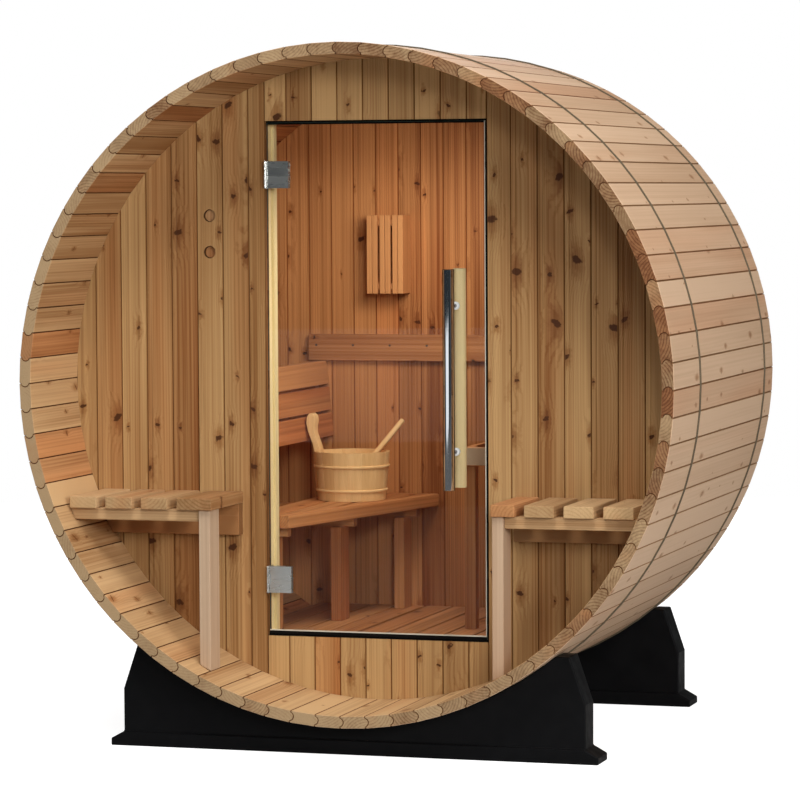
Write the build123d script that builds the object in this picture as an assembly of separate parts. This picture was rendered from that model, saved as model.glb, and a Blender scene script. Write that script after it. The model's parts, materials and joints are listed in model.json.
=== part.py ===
from build123d import *
import os
from math import radians, sin, cos, tan, acos, sqrt

# Barrel sauna: eighty bead-and-cove staves round two boarded end walls, an open porch in
# front with two slatted benches, a frameless glass door, and a small bench room behind it.
# Millimetres. The barrel lies along Y with its porch towards -Y, +Z is up, and the origin
# is on the ground, under the middle of the barrel.

# ---------------------------------------------------------------- driving dimensions
DIAMETER = 2133.6            # across the outer corners of the staves (7 ft)
LENGTH = 1524.0              # stave length (5 ft)
STAVE_COUNT = 80
STAVES_PER_PANEL = 8         # staves kept together in one node
STAVE_THICKNESS = 38.0
JOINT_GAP = 0.3              # between neighbouring staves, and between pieces that seat
BEAD_RADIUS = 14.0           # bead on one edge of a stave, cove in the other
BEAD_INSET = 3.5             # centre of the bead, inside the joint plane
BEAD_FACETS = 4              # flats along a bead
GROUND_CLEARANCE = 98.0      # lowest stave corner above the ground

PORCH_DEPTH = 395.0          # front rim to the outside of the front wall
WALL_THICKNESS = 38.0
CROZE_DEPTH = 5.0            # groove in the staves that holds the walls
REAR_RECESS = 56.0           # back rim to the outside of the back wall
VENT_DIAMETER = 40.0
VENT_DEPTH = 12.0
VENT_FROM_DOORWAY = 190.0
VENT_HEIGHTS = (411.0, 529.0)

DOORWAY_WIDTH = 744.0
FRAME_WIDTH = 38.0           # jambs, head and sill behind the front wall
FRAME_TO_STAVES = 71.7       # corners of the frame, straight up or down to the staves
FRAME_DEPTH = 57.0
SEAL_WIDTH = 12.0
SEAL_DEPTH = 10.0
GLASS_THICKNESS = 8.0
GLASS_MARGIN = 6.0           # glass edge to the doorway
GLASS_SETBACK = 4.0          # glass face behind the wall face
SEAL_CLEARANCE = 5.0

HINGE_ABOVE_SILL = 183.0
HINGE_BELOW_HEAD = 173.0
HINGE_PLATE_WIDTH = 76.0
HINGE_PLATE_HEIGHT = 87.0
HINGE_PLATE_THICKNESS = 6.0
HINGE_PIN_SETBACK = 6.5      # pin axis in front of the wall face
KNUCKLE_RADIUS = 5.0
PIN_RADIUS = 2.5
PIN_CLEARANCE = 0.25
KNUCKLE_GAP = 0.5
LEAF_THICKNESS = 2.4
LEAF_DEPTH = 50.0

HANDLE_FROM_EDGE = 102.0
HANDLE_MIDDLE = 7.0          # above the barrel's axis
HANDLE_LENGTH = 702.0
HANDLE_TUBE_DIAMETER = 38.0
HANDLE_BAR_DIAMETER = 42.0
HANDLE_STANDOFF = 74.0       # glass face to the middle of the tube
BAR_STANDOFF = 45.0
HANDLE_BOLT_SPACING = 466.0
HANDLE_BOLT_DIAMETER = 14.0
BOLT_CLEARANCE = 0.3

BENCH_TOP = -365.0           # porch benches, from the barrel's axis
SLAT_THICKNESS = 38.0
PORCH_SLAT_COUNT = 3         # beside the wide inner one
PORCH_SLAT_GAP = 30.0
BENCH_SETBACK = 90.0         # front rim to the slat ends
RIGHT_BENCH_TO_DOORWAY = 91.0
RIGHT_INNER_SLAT = 78.0
RIGHT_BENCH_TO_STAVES = 41.7
RIGHT_LEG_INSET = 1.0
LEFT_BENCH_TO_DOORWAY = 81.0
LEFT_INNER_SLAT = 119.0
LEFT_BENCH_TO_STAVES = 24.7
LEFT_LEG_INSET = 11.0
RAIL = 38.0
RAIL_SETBACK = 27.0          # slat ends to the front rail
LEG_SETBACK = 15.0
LEG_DEPTH = 89.0
LEDGER_HEIGHT = 102.0
LEDGER_INSET = 2.0

FLOOR_BELOW_SILL = 12.0
FLOOR_TO_STAVES = 8.0
FLOOR_BOARD_THICKNESS = 26.0
FLOOR_BOARD_GAP = 8.0
FLOOR_BOARD_COUNT = 11
JOIST_HEIGHT = 64.0
JOIST_WIDTH = 38.0
JOIST_COUNT = 3
JOIST_END = 60.0             # floor end to the outer joists

CABIN_BENCH_TOP = -450.0
CABIN_SLAT_WIDTH = 89.0
CABIN_SLAT_GAP = 12.0
CABIN_SLAT_COUNT = 4
SEAT_BEHIND_FRAME = 65.0     # back edge of the seat, past the outside of the frame
SEAT_IN_DOORWAY = 27.0       # front edge of the seat, inside the edge of the doorway
SEAT_WIDENING = 250.0        # from the front wall to the back wall
FASCIA_THICKNESS = 34.0
FASCIA_HEIGHT = 44.0
BEARER = 38.0
BEARER_COUNT = 3
BEARER_END = 70.0            # cabin end to the outer bearers

BACKREST_CLEARANCE = 1.0     # below the rail on the back wall
BACKREST_BOARD = 82.0
BACKREST_GAP = 9.0
BACKREST_COUNT = 3
BACKREST_THICKNESS = 22.0
BACKREST_BEHIND_SEAT = 30.0  # front face at its top, behind the seat's back edge
BACKREST_LEAN = 5.4          # degrees
POST = 38.0

BACK_RAIL_HALF = 567.0
BACK_RAIL_TOP = 105.0
BACK_RAIL_HEIGHT = 92.0
BACK_RAIL_THICKNESS = 22.0

SHADE_X = -262.0
SHADE_BOTTOM = 250.0
SHADE_WIDTH = 131.0
SHADE_HEIGHT = 272.0
SHADE_DEPTH = 90.0
SHADE_SLAT = 18.0
SHADE_PAIR_GAP = 2.0         # between the two slats of a pair
SHADE_PAIR_COUNT = 3
SHADE_BOARD = 10.0
SHADE_RAIL = 20.0
SHADE_RAIL_INSET = 16.0      # ends of the slats to the rails behind them

GUARD_IN_DOORWAY = 197.0     # left end of the guard, from the right edge of the doorway
GUARD_SETBACK = 357.0        # inside of the front wall to the guard's rail
GUARD_TOP = -240.0
GUARD_RAIL_HEIGHT = 60.0
GUARD_RAIL_THICKNESS = 19.0

BUCKET_BEFORE_SEAT_BACK = 154.0
BUCKET_SETBACK = 293.0       # inside of the back wall to the bucket's middle
BUCKET_RIM_RADIUS = 131.0
BUCKET_FOOT_RADIUS = 116.0
BUCKET_HEIGHT = 166.0
BUCKET_STAVES = 16
BUCKET_WALL = 12.0
BUCKET_FLOOR = 14.0
BUCKET_HANDLE_HEIGHT = 134.0
BUCKET_HANDLE_WIDTH = 46.0
BUCKET_HOOP = 5.0
BUCKET_HOOP_WIDTH = 9.0
BUCKET_HOOP_HEIGHTS = (30.0, 112.0)
LADLE_RADIUS = 9.0
LADLE_TILT = 46.0            # degrees from level
LADLE_REACH = 118.0          # past the rim, along the handle
LADLE_CUP_RADIUS = 34.0
LADLE_CUP_HEIGHT = 40.0
LADLE_CUP_WALL = 5.0
LADLE_LIFT = 1.1             # the round handle on the curved rim
LADLE_TURN = 45.0            # degrees round the bucket, from its right side to the back

CRADLE_THICKNESS = 105.0
CRADLE_HALF_WIDTH = 762.0
CRADLE_SHOULDER = 184.0      # above the ground
CRADLE_TIP_SLOPE = 50.0      # the shoulder to the top outer corner, inwards
CRADLE_TIP = 332.0
CRADLE_FOOT_FLARE = 42.0
CRADLE_FOOT_HEIGHT = 46.0
CRADLE_FOOT_LIP = 8.0
FRONT_CRADLE_SETBACK = 105.0
REAR_CRADLE_SETBACK = 10.0

HOOP_SECTION = 5.0
FRONT_HOOP_SETBACK = 362.0
REAR_HOOP_SETBACK = 153.0
LUG_ANGLE = 214.0            # degrees round from the top, clockwise from the front
LUG_LENGTH = 70.0
LUG_HEIGHT = 16.0
LUG_WIDTH = 14.0
LUG_LIFT = 1.5

OVERCUT = 1.0                # how far a cutting shape passes the faces that it cuts

# ---------------------------------------------------------------- derived places
RADIUS = DIAMETER / 2
AXIS_HEIGHT = RADIUS + GROUND_CLEARANCE
HALF_STEP = 180.0 / STAVE_COUNT
OUTER_FLAT = RADIUS * cos(radians(HALF_STEP))
INNER_FLAT = OUTER_FLAT - STAVE_THICKNESS
LINER = INNER_FLAT - JOINT_GAP            # what seats on the inside of the staves
FRONT_Y = -LENGTH / 2
BACK_Y = LENGTH / 2
WALL_FRONT = FRONT_Y + PORCH_DEPTH
WALL_BACK = WALL_FRONT + WALL_THICKNESS
REAR_WALL_BACK = BACK_Y - REAR_RECESS
REAR_WALL_FRONT = REAR_WALL_BACK - WALL_THICKNESS
CABIN_FRONT = WALL_BACK + FRAME_DEPTH
HALF_DOORWAY = DOORWAY_WIDTH / 2
HALF_FRAME = HALF_DOORWAY + FRAME_WIDTH
HALF_DOOR_HEIGHT = sqrt(INNER_FLAT ** 2 - HALF_FRAME ** 2) - FRAME_TO_STAVES - FRAME_WIDTH
GLASS_FRONT = WALL_FRONT + GLASS_SETBACK
GLASS_BACK = GLASS_FRONT + GLASS_THICKNESS
GLASS_HALF_WIDTH = HALF_DOORWAY - GLASS_MARGIN
GLASS_HALF_HEIGHT = HALF_DOOR_HEIGHT - GLASS_MARGIN
HANDLE_X = GLASS_HALF_WIDTH - HANDLE_FROM_EDGE
PIN_X = -GLASS_HALF_WIDTH - GLASS_MARGIN / 2
PIN_Y = WALL_FRONT - HINGE_PIN_SETBACK
HINGE_HEIGHTS = (HINGE_ABOVE_SILL - HALF_DOOR_HEIGHT, HALF_DOOR_HEIGHT - HINGE_BELOW_HEAD)
VENT_X = -HALF_DOORWAY - VENT_FROM_DOORWAY
FLOOR_TOP = -HALF_DOOR_HEIGHT - FLOOR_BELOW_SILL
SEAT_BACK = -HALF_FRAME - SEAT_BEHIND_FRAME
SEAT_FRONT_AT_DOOR = SEAT_IN_DOORWAY - HALF_DOORWAY
BACKREST_X = SEAT_BACK - BACKREST_BEHIND_SEAT
SEAT_FRONT_AT_BACK = SEAT_FRONT_AT_DOOR + SEAT_WIDENING
BUCKET_X = SEAT_BACK + BUCKET_BEFORE_SEAT_BACK
BUCKET_HALF_STAVE = 180.0 / BUCKET_STAVES
GUARD_X = HALF_DOORWAY - GUARD_IN_DOORWAY
BENCH_UNDERSIDE = BENCH_TOP - SLAT_THICKNESS
SEAT_UNDERSIDE = CABIN_BENCH_TOP - SLAT_THICKNESS
BACKREST_TOP = BACK_RAIL_TOP - BACK_RAIL_HEIGHT - BACKREST_CLEARANCE


# ---------------------------------------------------------------- helpers
def block(x0, x1, y0, y1, z0, z1):
    """A square-edged board between two corners; z is measured from the barrel's axis."""
    centre = Pos((x0 + x1) / 2, (y0 + y1) / 2, AXIS_HEIGHT + (z0 + z1) / 2)
    return centre * Box(x1 - x0, y1 - y0, z1 - z0)


def prism(points, y0, y1):
    """An outline in X and height above the axis, carried from y0 to y1."""
    outline = make_face(Polyline(*points, close=True))
    solid = extrude(outline, amount=y1 - y0)
    return Pos(0, y1, AXIS_HEIGHT) * Rot(90, 0, 0) * solid


def polygon_points(flat):
    """Corners of a ring of flats, one flat to each stave, at this distance from the axis."""
    corner = flat / cos(radians(HALF_STEP))
    angles = [radians(2 * HALF_STEP * k) for k in range(STAVE_COUNT)]
    return [(corner * sin(a), corner * cos(a)) for a in angles]


def rod(x, z, y0, y1, radius):
    """A round bar along Y."""
    return Pos(x, (y0 + y1) / 2, AXIS_HEIGHT + z) * Rot(90, 0, 0) * Cylinder(radius, y1 - y0)


def half_chord(height):
    """Half the room between the staves at a height above the axis."""
    return sqrt(LINER ** 2 - height ** 2)


def inside_barrel(solid):
    """Trim a piece so that its ends seat on the inside of the staves."""
    bore = Pos(0, 0, AXIS_HEIGHT) * Rot(90, 0, 0) * Cylinder(LINER, LENGTH)
    return solid & bore


def plan(points, z0, z1):
    """An outline seen from above, carried from z0 up to z1."""
    outline = make_face(Polyline(*points, close=True))
    return Pos(0, 0, AXIS_HEIGHT + z0) * extrude(outline, amount=z1 - z0)


parts = {}


def keep(name, *solids):
    """Store the separate solids of one node."""
    parts[name] = list(solids)


# ---------------------------------------------------------------- barrel
def bead_curve(centre, radius, mouth):
    """Corners of a bead or cove in the plane of a joint: along its normal, then outwards."""
    span = acos(mouth / radius)
    angles = [span * (2 * k / BEAD_FACETS - 1) for k in range(BEAD_FACETS + 1)]
    return [(centre + radius * cos(a), radius * sin(a)) for a in angles]


def stave_blank():
    """One stave, at the top of the barrel: bead on its left edge and cove on its right."""
    lean = radians(HALF_STEP)
    middle = INNER_FLAT + STAVE_THICKNESS / 2

    def edge(side, points):
        """Points of a joint's plane, on one side of the stave."""
        return [(side * (middle * tan(lean) + n * cos(lean) + t * sin(lean)),
                 middle + t * cos(lean) - n * sin(lean)) for n, t in points]

    def corners(height):
        half = height * tan(lean) - JOINT_GAP / 2
        return (-half, height), (half, height)

    bead = bead_curve(-BEAD_INSET, BEAD_RADIUS, BEAD_INSET - JOINT_GAP / 2)
    cove = [(-n - JOINT_GAP, t) for n, t in bead]
    inner_left, inner_right = corners(INNER_FLAT)
    outer_left, outer_right = corners(OUTER_FLAT)
    profile = make_face(Polyline(inner_left, *edge(-1, bead), outer_left, outer_right,
                                 *edge(1, cove)[::-1], inner_right, close=True))
    stave = Pos(0, BACK_Y, 0) * Rot(90, 0, 0) * extrude(profile, amount=LENGTH)
    for wall_y in (WALL_FRONT, REAR_WALL_FRONT):
        stave -= Pos(0, wall_y + WALL_THICKNESS / 2, INNER_FLAT) * Box(
            RADIUS, WALL_THICKNESS + 2 * JOINT_GAP, 2 * CROZE_DEPTH)
    return stave


def barrel():
    blank = stave_blank()
    for panel in range(STAVE_COUNT // STAVES_PER_PANEL):
        staves = []
        for k in range(STAVES_PER_PANEL):
            turn = 2 * HALF_STEP * (panel * STAVES_PER_PANEL + k + 0.5)
            staves.append(Pos(0, 0, AXIS_HEIGHT) * Rot(0, turn, 0) * blank)
        keep(f"barrel_staves_{panel + 1:02d}", *staves)


def hoops():
    rings = []
    inner = OUTER_FLAT + JOINT_GAP
    for y in (FRONT_Y + FRONT_HOOP_SETBACK, BACK_Y - REAR_HOOP_SETBACK):
        y0 = y - HOOP_SECTION / 2
        ring = prism(polygon_points(inner + HOOP_SECTION), y0, y0 + HOOP_SECTION)
        ring -= prism(polygon_points(inner), y0 - OVERCUT, y0 + HOOP_SECTION + OVERCUT)
        lug = Pos(0, y, inner + LUG_HEIGHT / 2 + LUG_LIFT) * Box(
            LUG_LENGTH, LUG_WIDTH, LUG_HEIGHT)
        ring += Pos(0, 0, AXIS_HEIGHT) * Rot(0, LUG_ANGLE, 0) * lug
        rings.append(ring)
    keep("hoops", *rings)


# ---------------------------------------------------------------- walls
def walls():
    disc = polygon_points(INNER_FLAT + CROZE_DEPTH - JOINT_GAP)
    front = prism(disc, WALL_FRONT, WALL_BACK)
    w, h = HALF_DOORWAY, HALF_DOOR_HEIGHT
    y0, y1 = WALL_FRONT - OVERCUT, WALL_BACK + OVERCUT
    left = front & block(-RADIUS, -w, y0, y1, -RADIUS, RADIUS)
    for height in VENT_HEIGHTS:
        left -= rod(VENT_X, height, y0, WALL_FRONT + VENT_DEPTH, VENT_DIAMETER / 2)
    keep("front_wall_left", left)
    keep("front_wall_right", front & block(w, RADIUS, y0, y1, -RADIUS, RADIUS))
    keep("front_wall_over_door", front & block(-w, w, y0, y1, h, RADIUS))
    keep("front_wall_under_door", front & block(-w, w, y0, y1, -RADIUS, -h))
    keep("back_wall", prism(disc, REAR_WALL_FRONT, REAR_WALL_BACK))


def door_frame():
    w, h = HALF_DOORWAY, HALF_DOOR_HEIGHT
    outer = block(-HALF_FRAME, HALF_FRAME, WALL_BACK, CABIN_FRONT,
                  -h - FRAME_WIDTH, h + FRAME_WIDTH)
    keep("door_frame", outer - block(-w, w, WALL_BACK - OVERCUT, CABIN_FRONT + OVERCUT, -h, h))
    y0 = GLASS_BACK + SEAL_CLEARANCE
    y1 = y0 + SEAL_DEPTH
    seal = block(-w, w, y0, y1, -h, h)
    seal -= block(-w - OVERCUT, w - SEAL_WIDTH, y0 - OVERCUT, y1 + OVERCUT,
                  -h + SEAL_WIDTH, h - SEAL_WIDTH)
    keep("door_seal", seal)


# ---------------------------------------------------------------- door
def knuckle(z0, z1, radius):
    centre = Pos(PIN_X, PIN_Y, AXIS_HEIGHT + (z0 + z1) / 2)
    return centre * Cylinder(radius, z1 - z0)


def door():
    w, h = GLASS_HALF_WIDTH, GLASS_HALF_HEIGHT
    glass = block(-w, w, GLASS_FRONT, GLASS_BACK, -h, h)
    tube_y = GLASS_FRONT - HANDLE_STANDOFF
    bar_y = GLASS_BACK + BAR_STANDOFF
    outside = Pos(HANDLE_X, tube_y, AXIS_HEIGHT + HANDLE_MIDDLE)
    tube = outside * Cylinder(HANDLE_TUBE_DIAMETER / 2, HANDLE_LENGTH)
    inside = Pos(HANDLE_X, bar_y, AXIS_HEIGHT + HANDLE_MIDDLE)
    bar = inside * Cylinder(HANDLE_BAR_DIAMETER / 2, HANDLE_LENGTH)
    bolt = HANDLE_BOLT_DIAMETER / 2
    hole = bolt + BOLT_CLEARANCE
    for z in (HANDLE_MIDDLE - HANDLE_BOLT_SPACING / 2, HANDLE_MIDDLE + HANDLE_BOLT_SPACING / 2):
        glass -= rod(HANDLE_X, z, GLASS_FRONT - OVERCUT, GLASS_BACK + OVERCUT, hole)
        bar -= rod(HANDLE_X, z, GLASS_BACK, bar_y, hole)
        tube += rod(HANDLE_X, z, tube_y, bar_y - JOINT_GAP, bolt)
    keep("door_handle_tube", tube)
    keep("door_handle_bar", bar)

    clamps = []
    leaves = []
    for z in HINGE_HEIGHTS:
        half = HINGE_PLATE_HEIGHT / 2
        third = HINGE_PLATE_HEIGHT / 3
        front = block(-w, -w + HINGE_PLATE_WIDTH, GLASS_FRONT - HINGE_PLATE_THICKNESS,
                      GLASS_FRONT, z - half, z + half)
        middle0, middle1 = z - third / 2, z + third / 2
        arm = block(PIN_X, -w + KNUCKLE_RADIUS, PIN_Y, GLASS_FRONT - GLASS_SETBACK / 2,
                    middle0, middle1)
        front += knuckle(middle0, middle1, KNUCKLE_RADIUS) + arm
        front -= knuckle(middle0 - OVERCUT, middle1 + OVERCUT, PIN_RADIUS + PIN_CLEARANCE)
        back = block(-w, -w + HINGE_PLATE_WIDTH, GLASS_BACK,
                     GLASS_BACK + HINGE_PLATE_THICKNESS, z - half, z + half)
        clamps += [front, back]
        leaf = block(-HALF_DOORWAY, -HALF_DOORWAY + LEAF_THICKNESS, PIN_Y,
                     WALL_FRONT + LEAF_DEPTH, z - half, z + half)
        leaf -= block(-HALF_DOORWAY - OVERCUT, -HALF_DOORWAY + KNUCKLE_RADIUS + LEAF_THICKNESS,
                      PIN_Y - KNUCKLE_RADIUS - OVERCUT, GLASS_FRONT + KNUCKLE_GAP,
                      middle0 - KNUCKLE_GAP, middle1 + KNUCKLE_GAP)
        leaf += knuckle(z - half, middle0 - KNUCKLE_GAP, KNUCKLE_RADIUS)
        leaf += knuckle(middle1 + KNUCKLE_GAP, z + half, KNUCKLE_RADIUS)
        leaf += knuckle(z - half, z + half, PIN_RADIUS)
        leaves.append(leaf)
    keep("door_glass", glass)
    keep("door_hinge_clamps", *clamps)
    keep("door_hinge_leaves", *leaves)


# ---------------------------------------------------------------- porch benches
def porch_bench(side, name, to_doorway, inner_slat, to_staves, leg_inset):
    """Slats, rails and leg of one porch bench; side is -1 on the left and 1 on the right."""
    y0 = FRONT_Y + BENCH_SETBACK
    y1 = WALL_FRONT - JOINT_GAP
    inner = HALF_DOORWAY + to_doorway
    near = inner + inner_slat
    reach = half_chord(BENCH_TOP) - to_staves
    pitch = (reach - near) / PORCH_SLAT_COUNT
    edges = [(inner, near)]
    for k in range(PORCH_SLAT_COUNT):
        edges.append((near + k * pitch + PORCH_SLAT_GAP, near + (k + 1) * pitch))
    slats = []
    for edge in edges:
        x0, x1 = sorted(side * x for x in edge)
        slats.append(inside_barrel(block(x0, x1, y0, y1, BENCH_UNDERSIDE, BENCH_TOP)))
    keep(f"porch_bench_{name}_slats", *slats)

    leg_inner = inner + leg_inset
    leg_outer = leg_inner + RAIL
    x0, x1 = sorted((side * leg_outer, side * RADIUS))
    rail_y = y0 + RAIL_SETBACK
    rail = block(x0, x1, rail_y, rail_y + RAIL, BENCH_UNDERSIDE - RAIL, BENCH_UNDERSIDE)
    x0, x1 = sorted((side * (inner + LEDGER_INSET), side * RADIUS))
    ledger = block(x0, x1, WALL_FRONT - RAIL, WALL_FRONT,
                   BENCH_UNDERSIDE - LEDGER_HEIGHT, BENCH_UNDERSIDE)
    keep(f"porch_bench_{name}_rails", inside_barrel(rail), inside_barrel(ledger))

    leg_y = y0 + LEG_SETBACK
    x0, x1 = sorted((side * leg_inner, side * leg_outer))
    leg = block(x0, x1, leg_y, leg_y + LEG_DEPTH, -RADIUS, BENCH_UNDERSIDE)
    keep(f"porch_bench_{name}_leg", inside_barrel(leg))


# ---------------------------------------------------------------- floor and cabin bench
def spread(first, last, count):
    """Evenly spaced places from the first to the last."""
    return [first + (last - first) * k / (count - 1) for k in range(count)]


def floor():
    y0, y1 = CABIN_FRONT + JOINT_GAP, REAR_WALL_FRONT - JOINT_GAP
    board_bottom = FLOOR_TOP - FLOOR_BOARD_THICKNESS
    reach = half_chord(board_bottom) - FLOOR_TO_STAVES
    pitch = (2 * reach + FLOOR_BOARD_GAP) / FLOOR_BOARD_COUNT
    boards = []
    for k in range(FLOOR_BOARD_COUNT):
        x = k * pitch - reach
        boards.append(block(x, x + pitch - FLOOR_BOARD_GAP, y0, y1, board_bottom, FLOOR_TOP))
    keep("floor_boards", *boards)
    joists = []
    for y in spread(y0 + JOIST_END, y1 - JOIST_END, JOIST_COUNT):
        joists.append(inside_barrel(block(
            -RADIUS, RADIUS, y - JOIST_WIDTH / 2, y + JOIST_WIDTH / 2,
            board_bottom - JOIST_HEIGHT, board_bottom)))
    keep("floor_joists", *joists)


def seat_line(x_shift, y):
    """X of the slanted seat front at y, moved back by a distance."""
    y0, y1 = WALL_BACK, REAR_WALL_FRONT
    share = (y - y0) / (y1 - y0)
    return SEAT_FRONT_AT_DOOR + (SEAT_FRONT_AT_BACK - SEAT_FRONT_AT_DOOR) * share - x_shift


def cabin_bench():
    y0, y1 = WALL_BACK + JOINT_GAP, REAR_WALL_FRONT - JOINT_GAP
    fascia = plan([(seat_line(FASCIA_THICKNESS, y0), y0), (seat_line(0, y0), y0),
                   (seat_line(0, y1), y1), (seat_line(FASCIA_THICKNESS, y1), y1)],
                  CABIN_BENCH_TOP - FASCIA_HEIGHT, CABIN_BENCH_TOP)
    round_frame = block(-HALF_FRAME - JOINT_GAP, 0, y0 - OVERCUT, CABIN_FRONT + JOINT_GAP,
                        -RADIUS, RADIUS)
    fascia -= round_frame
    behind = FASCIA_THICKNESS + JOINT_GAP
    area = plan([(SEAT_BACK - OVERCUT, y0), (seat_line(behind, y0), y0),
                 (seat_line(behind, y1), y1), (SEAT_BACK - OVERCUT, y1)],
                SEAT_UNDERSIDE - OVERCUT, CABIN_BENCH_TOP + OVERCUT)
    area -= round_frame
    slats = [fascia]
    for k in range(CABIN_SLAT_COUNT):
        x = SEAT_BACK + k * (CABIN_SLAT_WIDTH + CABIN_SLAT_GAP)
        slats.append(area & block(x, x + CABIN_SLAT_WIDTH, y0, y1,
                                  SEAT_UNDERSIDE, CABIN_BENCH_TOP))
    keep("cabin_bench_slats", *slats)

    bearers = []
    legs = []
    places = spread(CABIN_FRONT + BEARER_END, REAR_WALL_FRONT - BEARER_END, BEARER_COUNT)
    for y in places:
        front = seat_line(behind, y - BEARER / 2)
        low = SEAT_UNDERSIDE - BEARER
        bearers.append(inside_barrel(block(-RADIUS, front, y - BEARER / 2, y + BEARER / 2,
                                           low, SEAT_UNDERSIDE)))
        leg_x = front - 2 * BEARER
        legs.append(block(leg_x, leg_x + BEARER, y - LEG_DEPTH / 2, y + LEG_DEPTH / 2,
                          FLOOR_TOP, low))
    keep("cabin_bench_bearers", *bearers)
    keep("cabin_bench_legs", *legs)

    lean = tan(radians(BACKREST_LEAN))
    pitch = BACKREST_BOARD + BACKREST_GAP
    boards = []
    for k in range(BACKREST_COUNT):
        top = BACKREST_TOP - k * pitch
        bottom = top - BACKREST_BOARD
        x_top = BACKREST_X + (BACKREST_TOP - top) * lean
        x_bottom = BACKREST_X + (BACKREST_TOP - bottom) * lean
        boards.append(prism([(x_top - BACKREST_THICKNESS, top), (x_top, top),
                             (x_bottom, bottom), (x_bottom - BACKREST_THICKNESS, bottom)],
                            y0, y1))
    keep("backrest_boards", *boards)
    posts = []
    drop = BACKREST_TOP - SEAT_UNDERSIDE
    for y in (places[0], places[-1]):
        x_top = BACKREST_X - BACKREST_THICKNESS
        x_low = x_top + drop * lean
        posts.append(prism([(x_top - POST, BACKREST_TOP), (x_top, BACKREST_TOP),
                            (x_low, SEAT_UNDERSIDE), (x_low - POST, SEAT_UNDERSIDE)],
                           y - POST / 2, y + POST / 2))
    keep("backrest_posts", *posts)


# ---------------------------------------------------------------- cabin fittings
def back_rail():
    keep("back_wall_rail", block(-BACK_RAIL_HALF, BACK_RAIL_HALF,
                                 REAR_WALL_FRONT - BACK_RAIL_THICKNESS, REAR_WALL_FRONT,
                                 BACK_RAIL_TOP - BACK_RAIL_HEIGHT, BACK_RAIL_TOP))


def lamp_shade():
    x0, x1 = SHADE_X - SHADE_WIDTH / 2, SHADE_X + SHADE_WIDTH / 2
    y0, y1 = REAR_WALL_FRONT - SHADE_DEPTH, REAR_WALL_FRONT
    z0, z1 = SHADE_BOTTOM, SHADE_BOTTOM + SHADE_HEIGHT
    face = y0 + SHADE_BOARD
    shade = block(x0, x0 + SHADE_BOARD, face, y1, z0, z1)
    shade += block(x1 - SHADE_BOARD, x1, face, y1, z0, z1)
    for z in (z0 + SHADE_RAIL_INSET, z1 - SHADE_RAIL_INSET - SHADE_RAIL):
        shade += block(x0, x1, face, face + SHADE_BOARD, z, z + SHADE_RAIL)
    pair = 2 * SHADE_SLAT + SHADE_PAIR_GAP
    for start in spread(x0, x1 - pair, SHADE_PAIR_COUNT):
        for x in (start, start + pair - SHADE_SLAT):
            shade += block(x, x + SHADE_SLAT, y0, face, z0, z1)
    keep("lamp_shade", shade)


def heater_guard():
    y0 = WALL_BACK + GUARD_SETBACK
    y1 = y0 + GUARD_RAIL_THICKNESS
    low = GUARD_TOP - GUARD_RAIL_HEIGHT
    front = inside_barrel(block(GUARD_X, RADIUS, y0, y1, low, GUARD_TOP))
    post = block(GUARD_X, GUARD_X + POST, y1, y1 + POST, FLOOR_TOP, GUARD_TOP)
    side = block(GUARD_X, GUARD_X + GUARD_RAIL_THICKNESS, y1 + POST, REAR_WALL_FRONT,
                 low, GUARD_TOP)
    keep("heater_guard", front + post + side)


def tapered(low, high, height):
    """A flat-sided solid between an outline on z = 0 and a matching one at a height."""
    foot = [Vector(x, y, 0) for x, y in low]
    top = [Vector(x, y, height) for x, y in high]
    faces = [Face(Wire.make_polygon(foot[::-1])), Face(Wire.make_polygon(top))]
    for k in range(len(foot)):
        faces.append(Face(Wire.make_polygon([foot[k - 1], foot[k], top[k], top[k - 1]])))
    return Solid(Shell(faces))


def coopered(foot, rim, height):
    """A many-sided cone standing on z = 0, one side to each stave of the bucket."""
    turns = [radians((2 * k + 1) * BUCKET_HALF_STAVE) for k in range(BUCKET_STAVES)]
    low, high = ([(radius * cos(a), radius * sin(a)) for a in turns] for radius in (foot, rim))
    return tapered(low, high, height)


def bucket_stave(height, half_width=None):
    """The stave of the bucket that stands at +X; a narrow one is cut square."""
    lean = (BUCKET_RIM_RADIUS - BUCKET_FOOT_RADIUS) / BUCKET_HEIGHT
    slope = tan(radians(BUCKET_HALF_STAVE))
    outlines = []
    for z in (0, height):
        outer = (BUCKET_FOOT_RADIUS + lean * z) * cos(radians(BUCKET_HALF_STAVE))
        inner = outer - BUCKET_WALL
        wide = half_width or outer * slope - JOINT_GAP / 2
        narrow = half_width or inner * slope - JOINT_GAP / 2
        outlines.append([(inner, -narrow), (outer, -wide), (outer, wide), (inner, narrow)])
    return tapered(*outlines, height)


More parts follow.
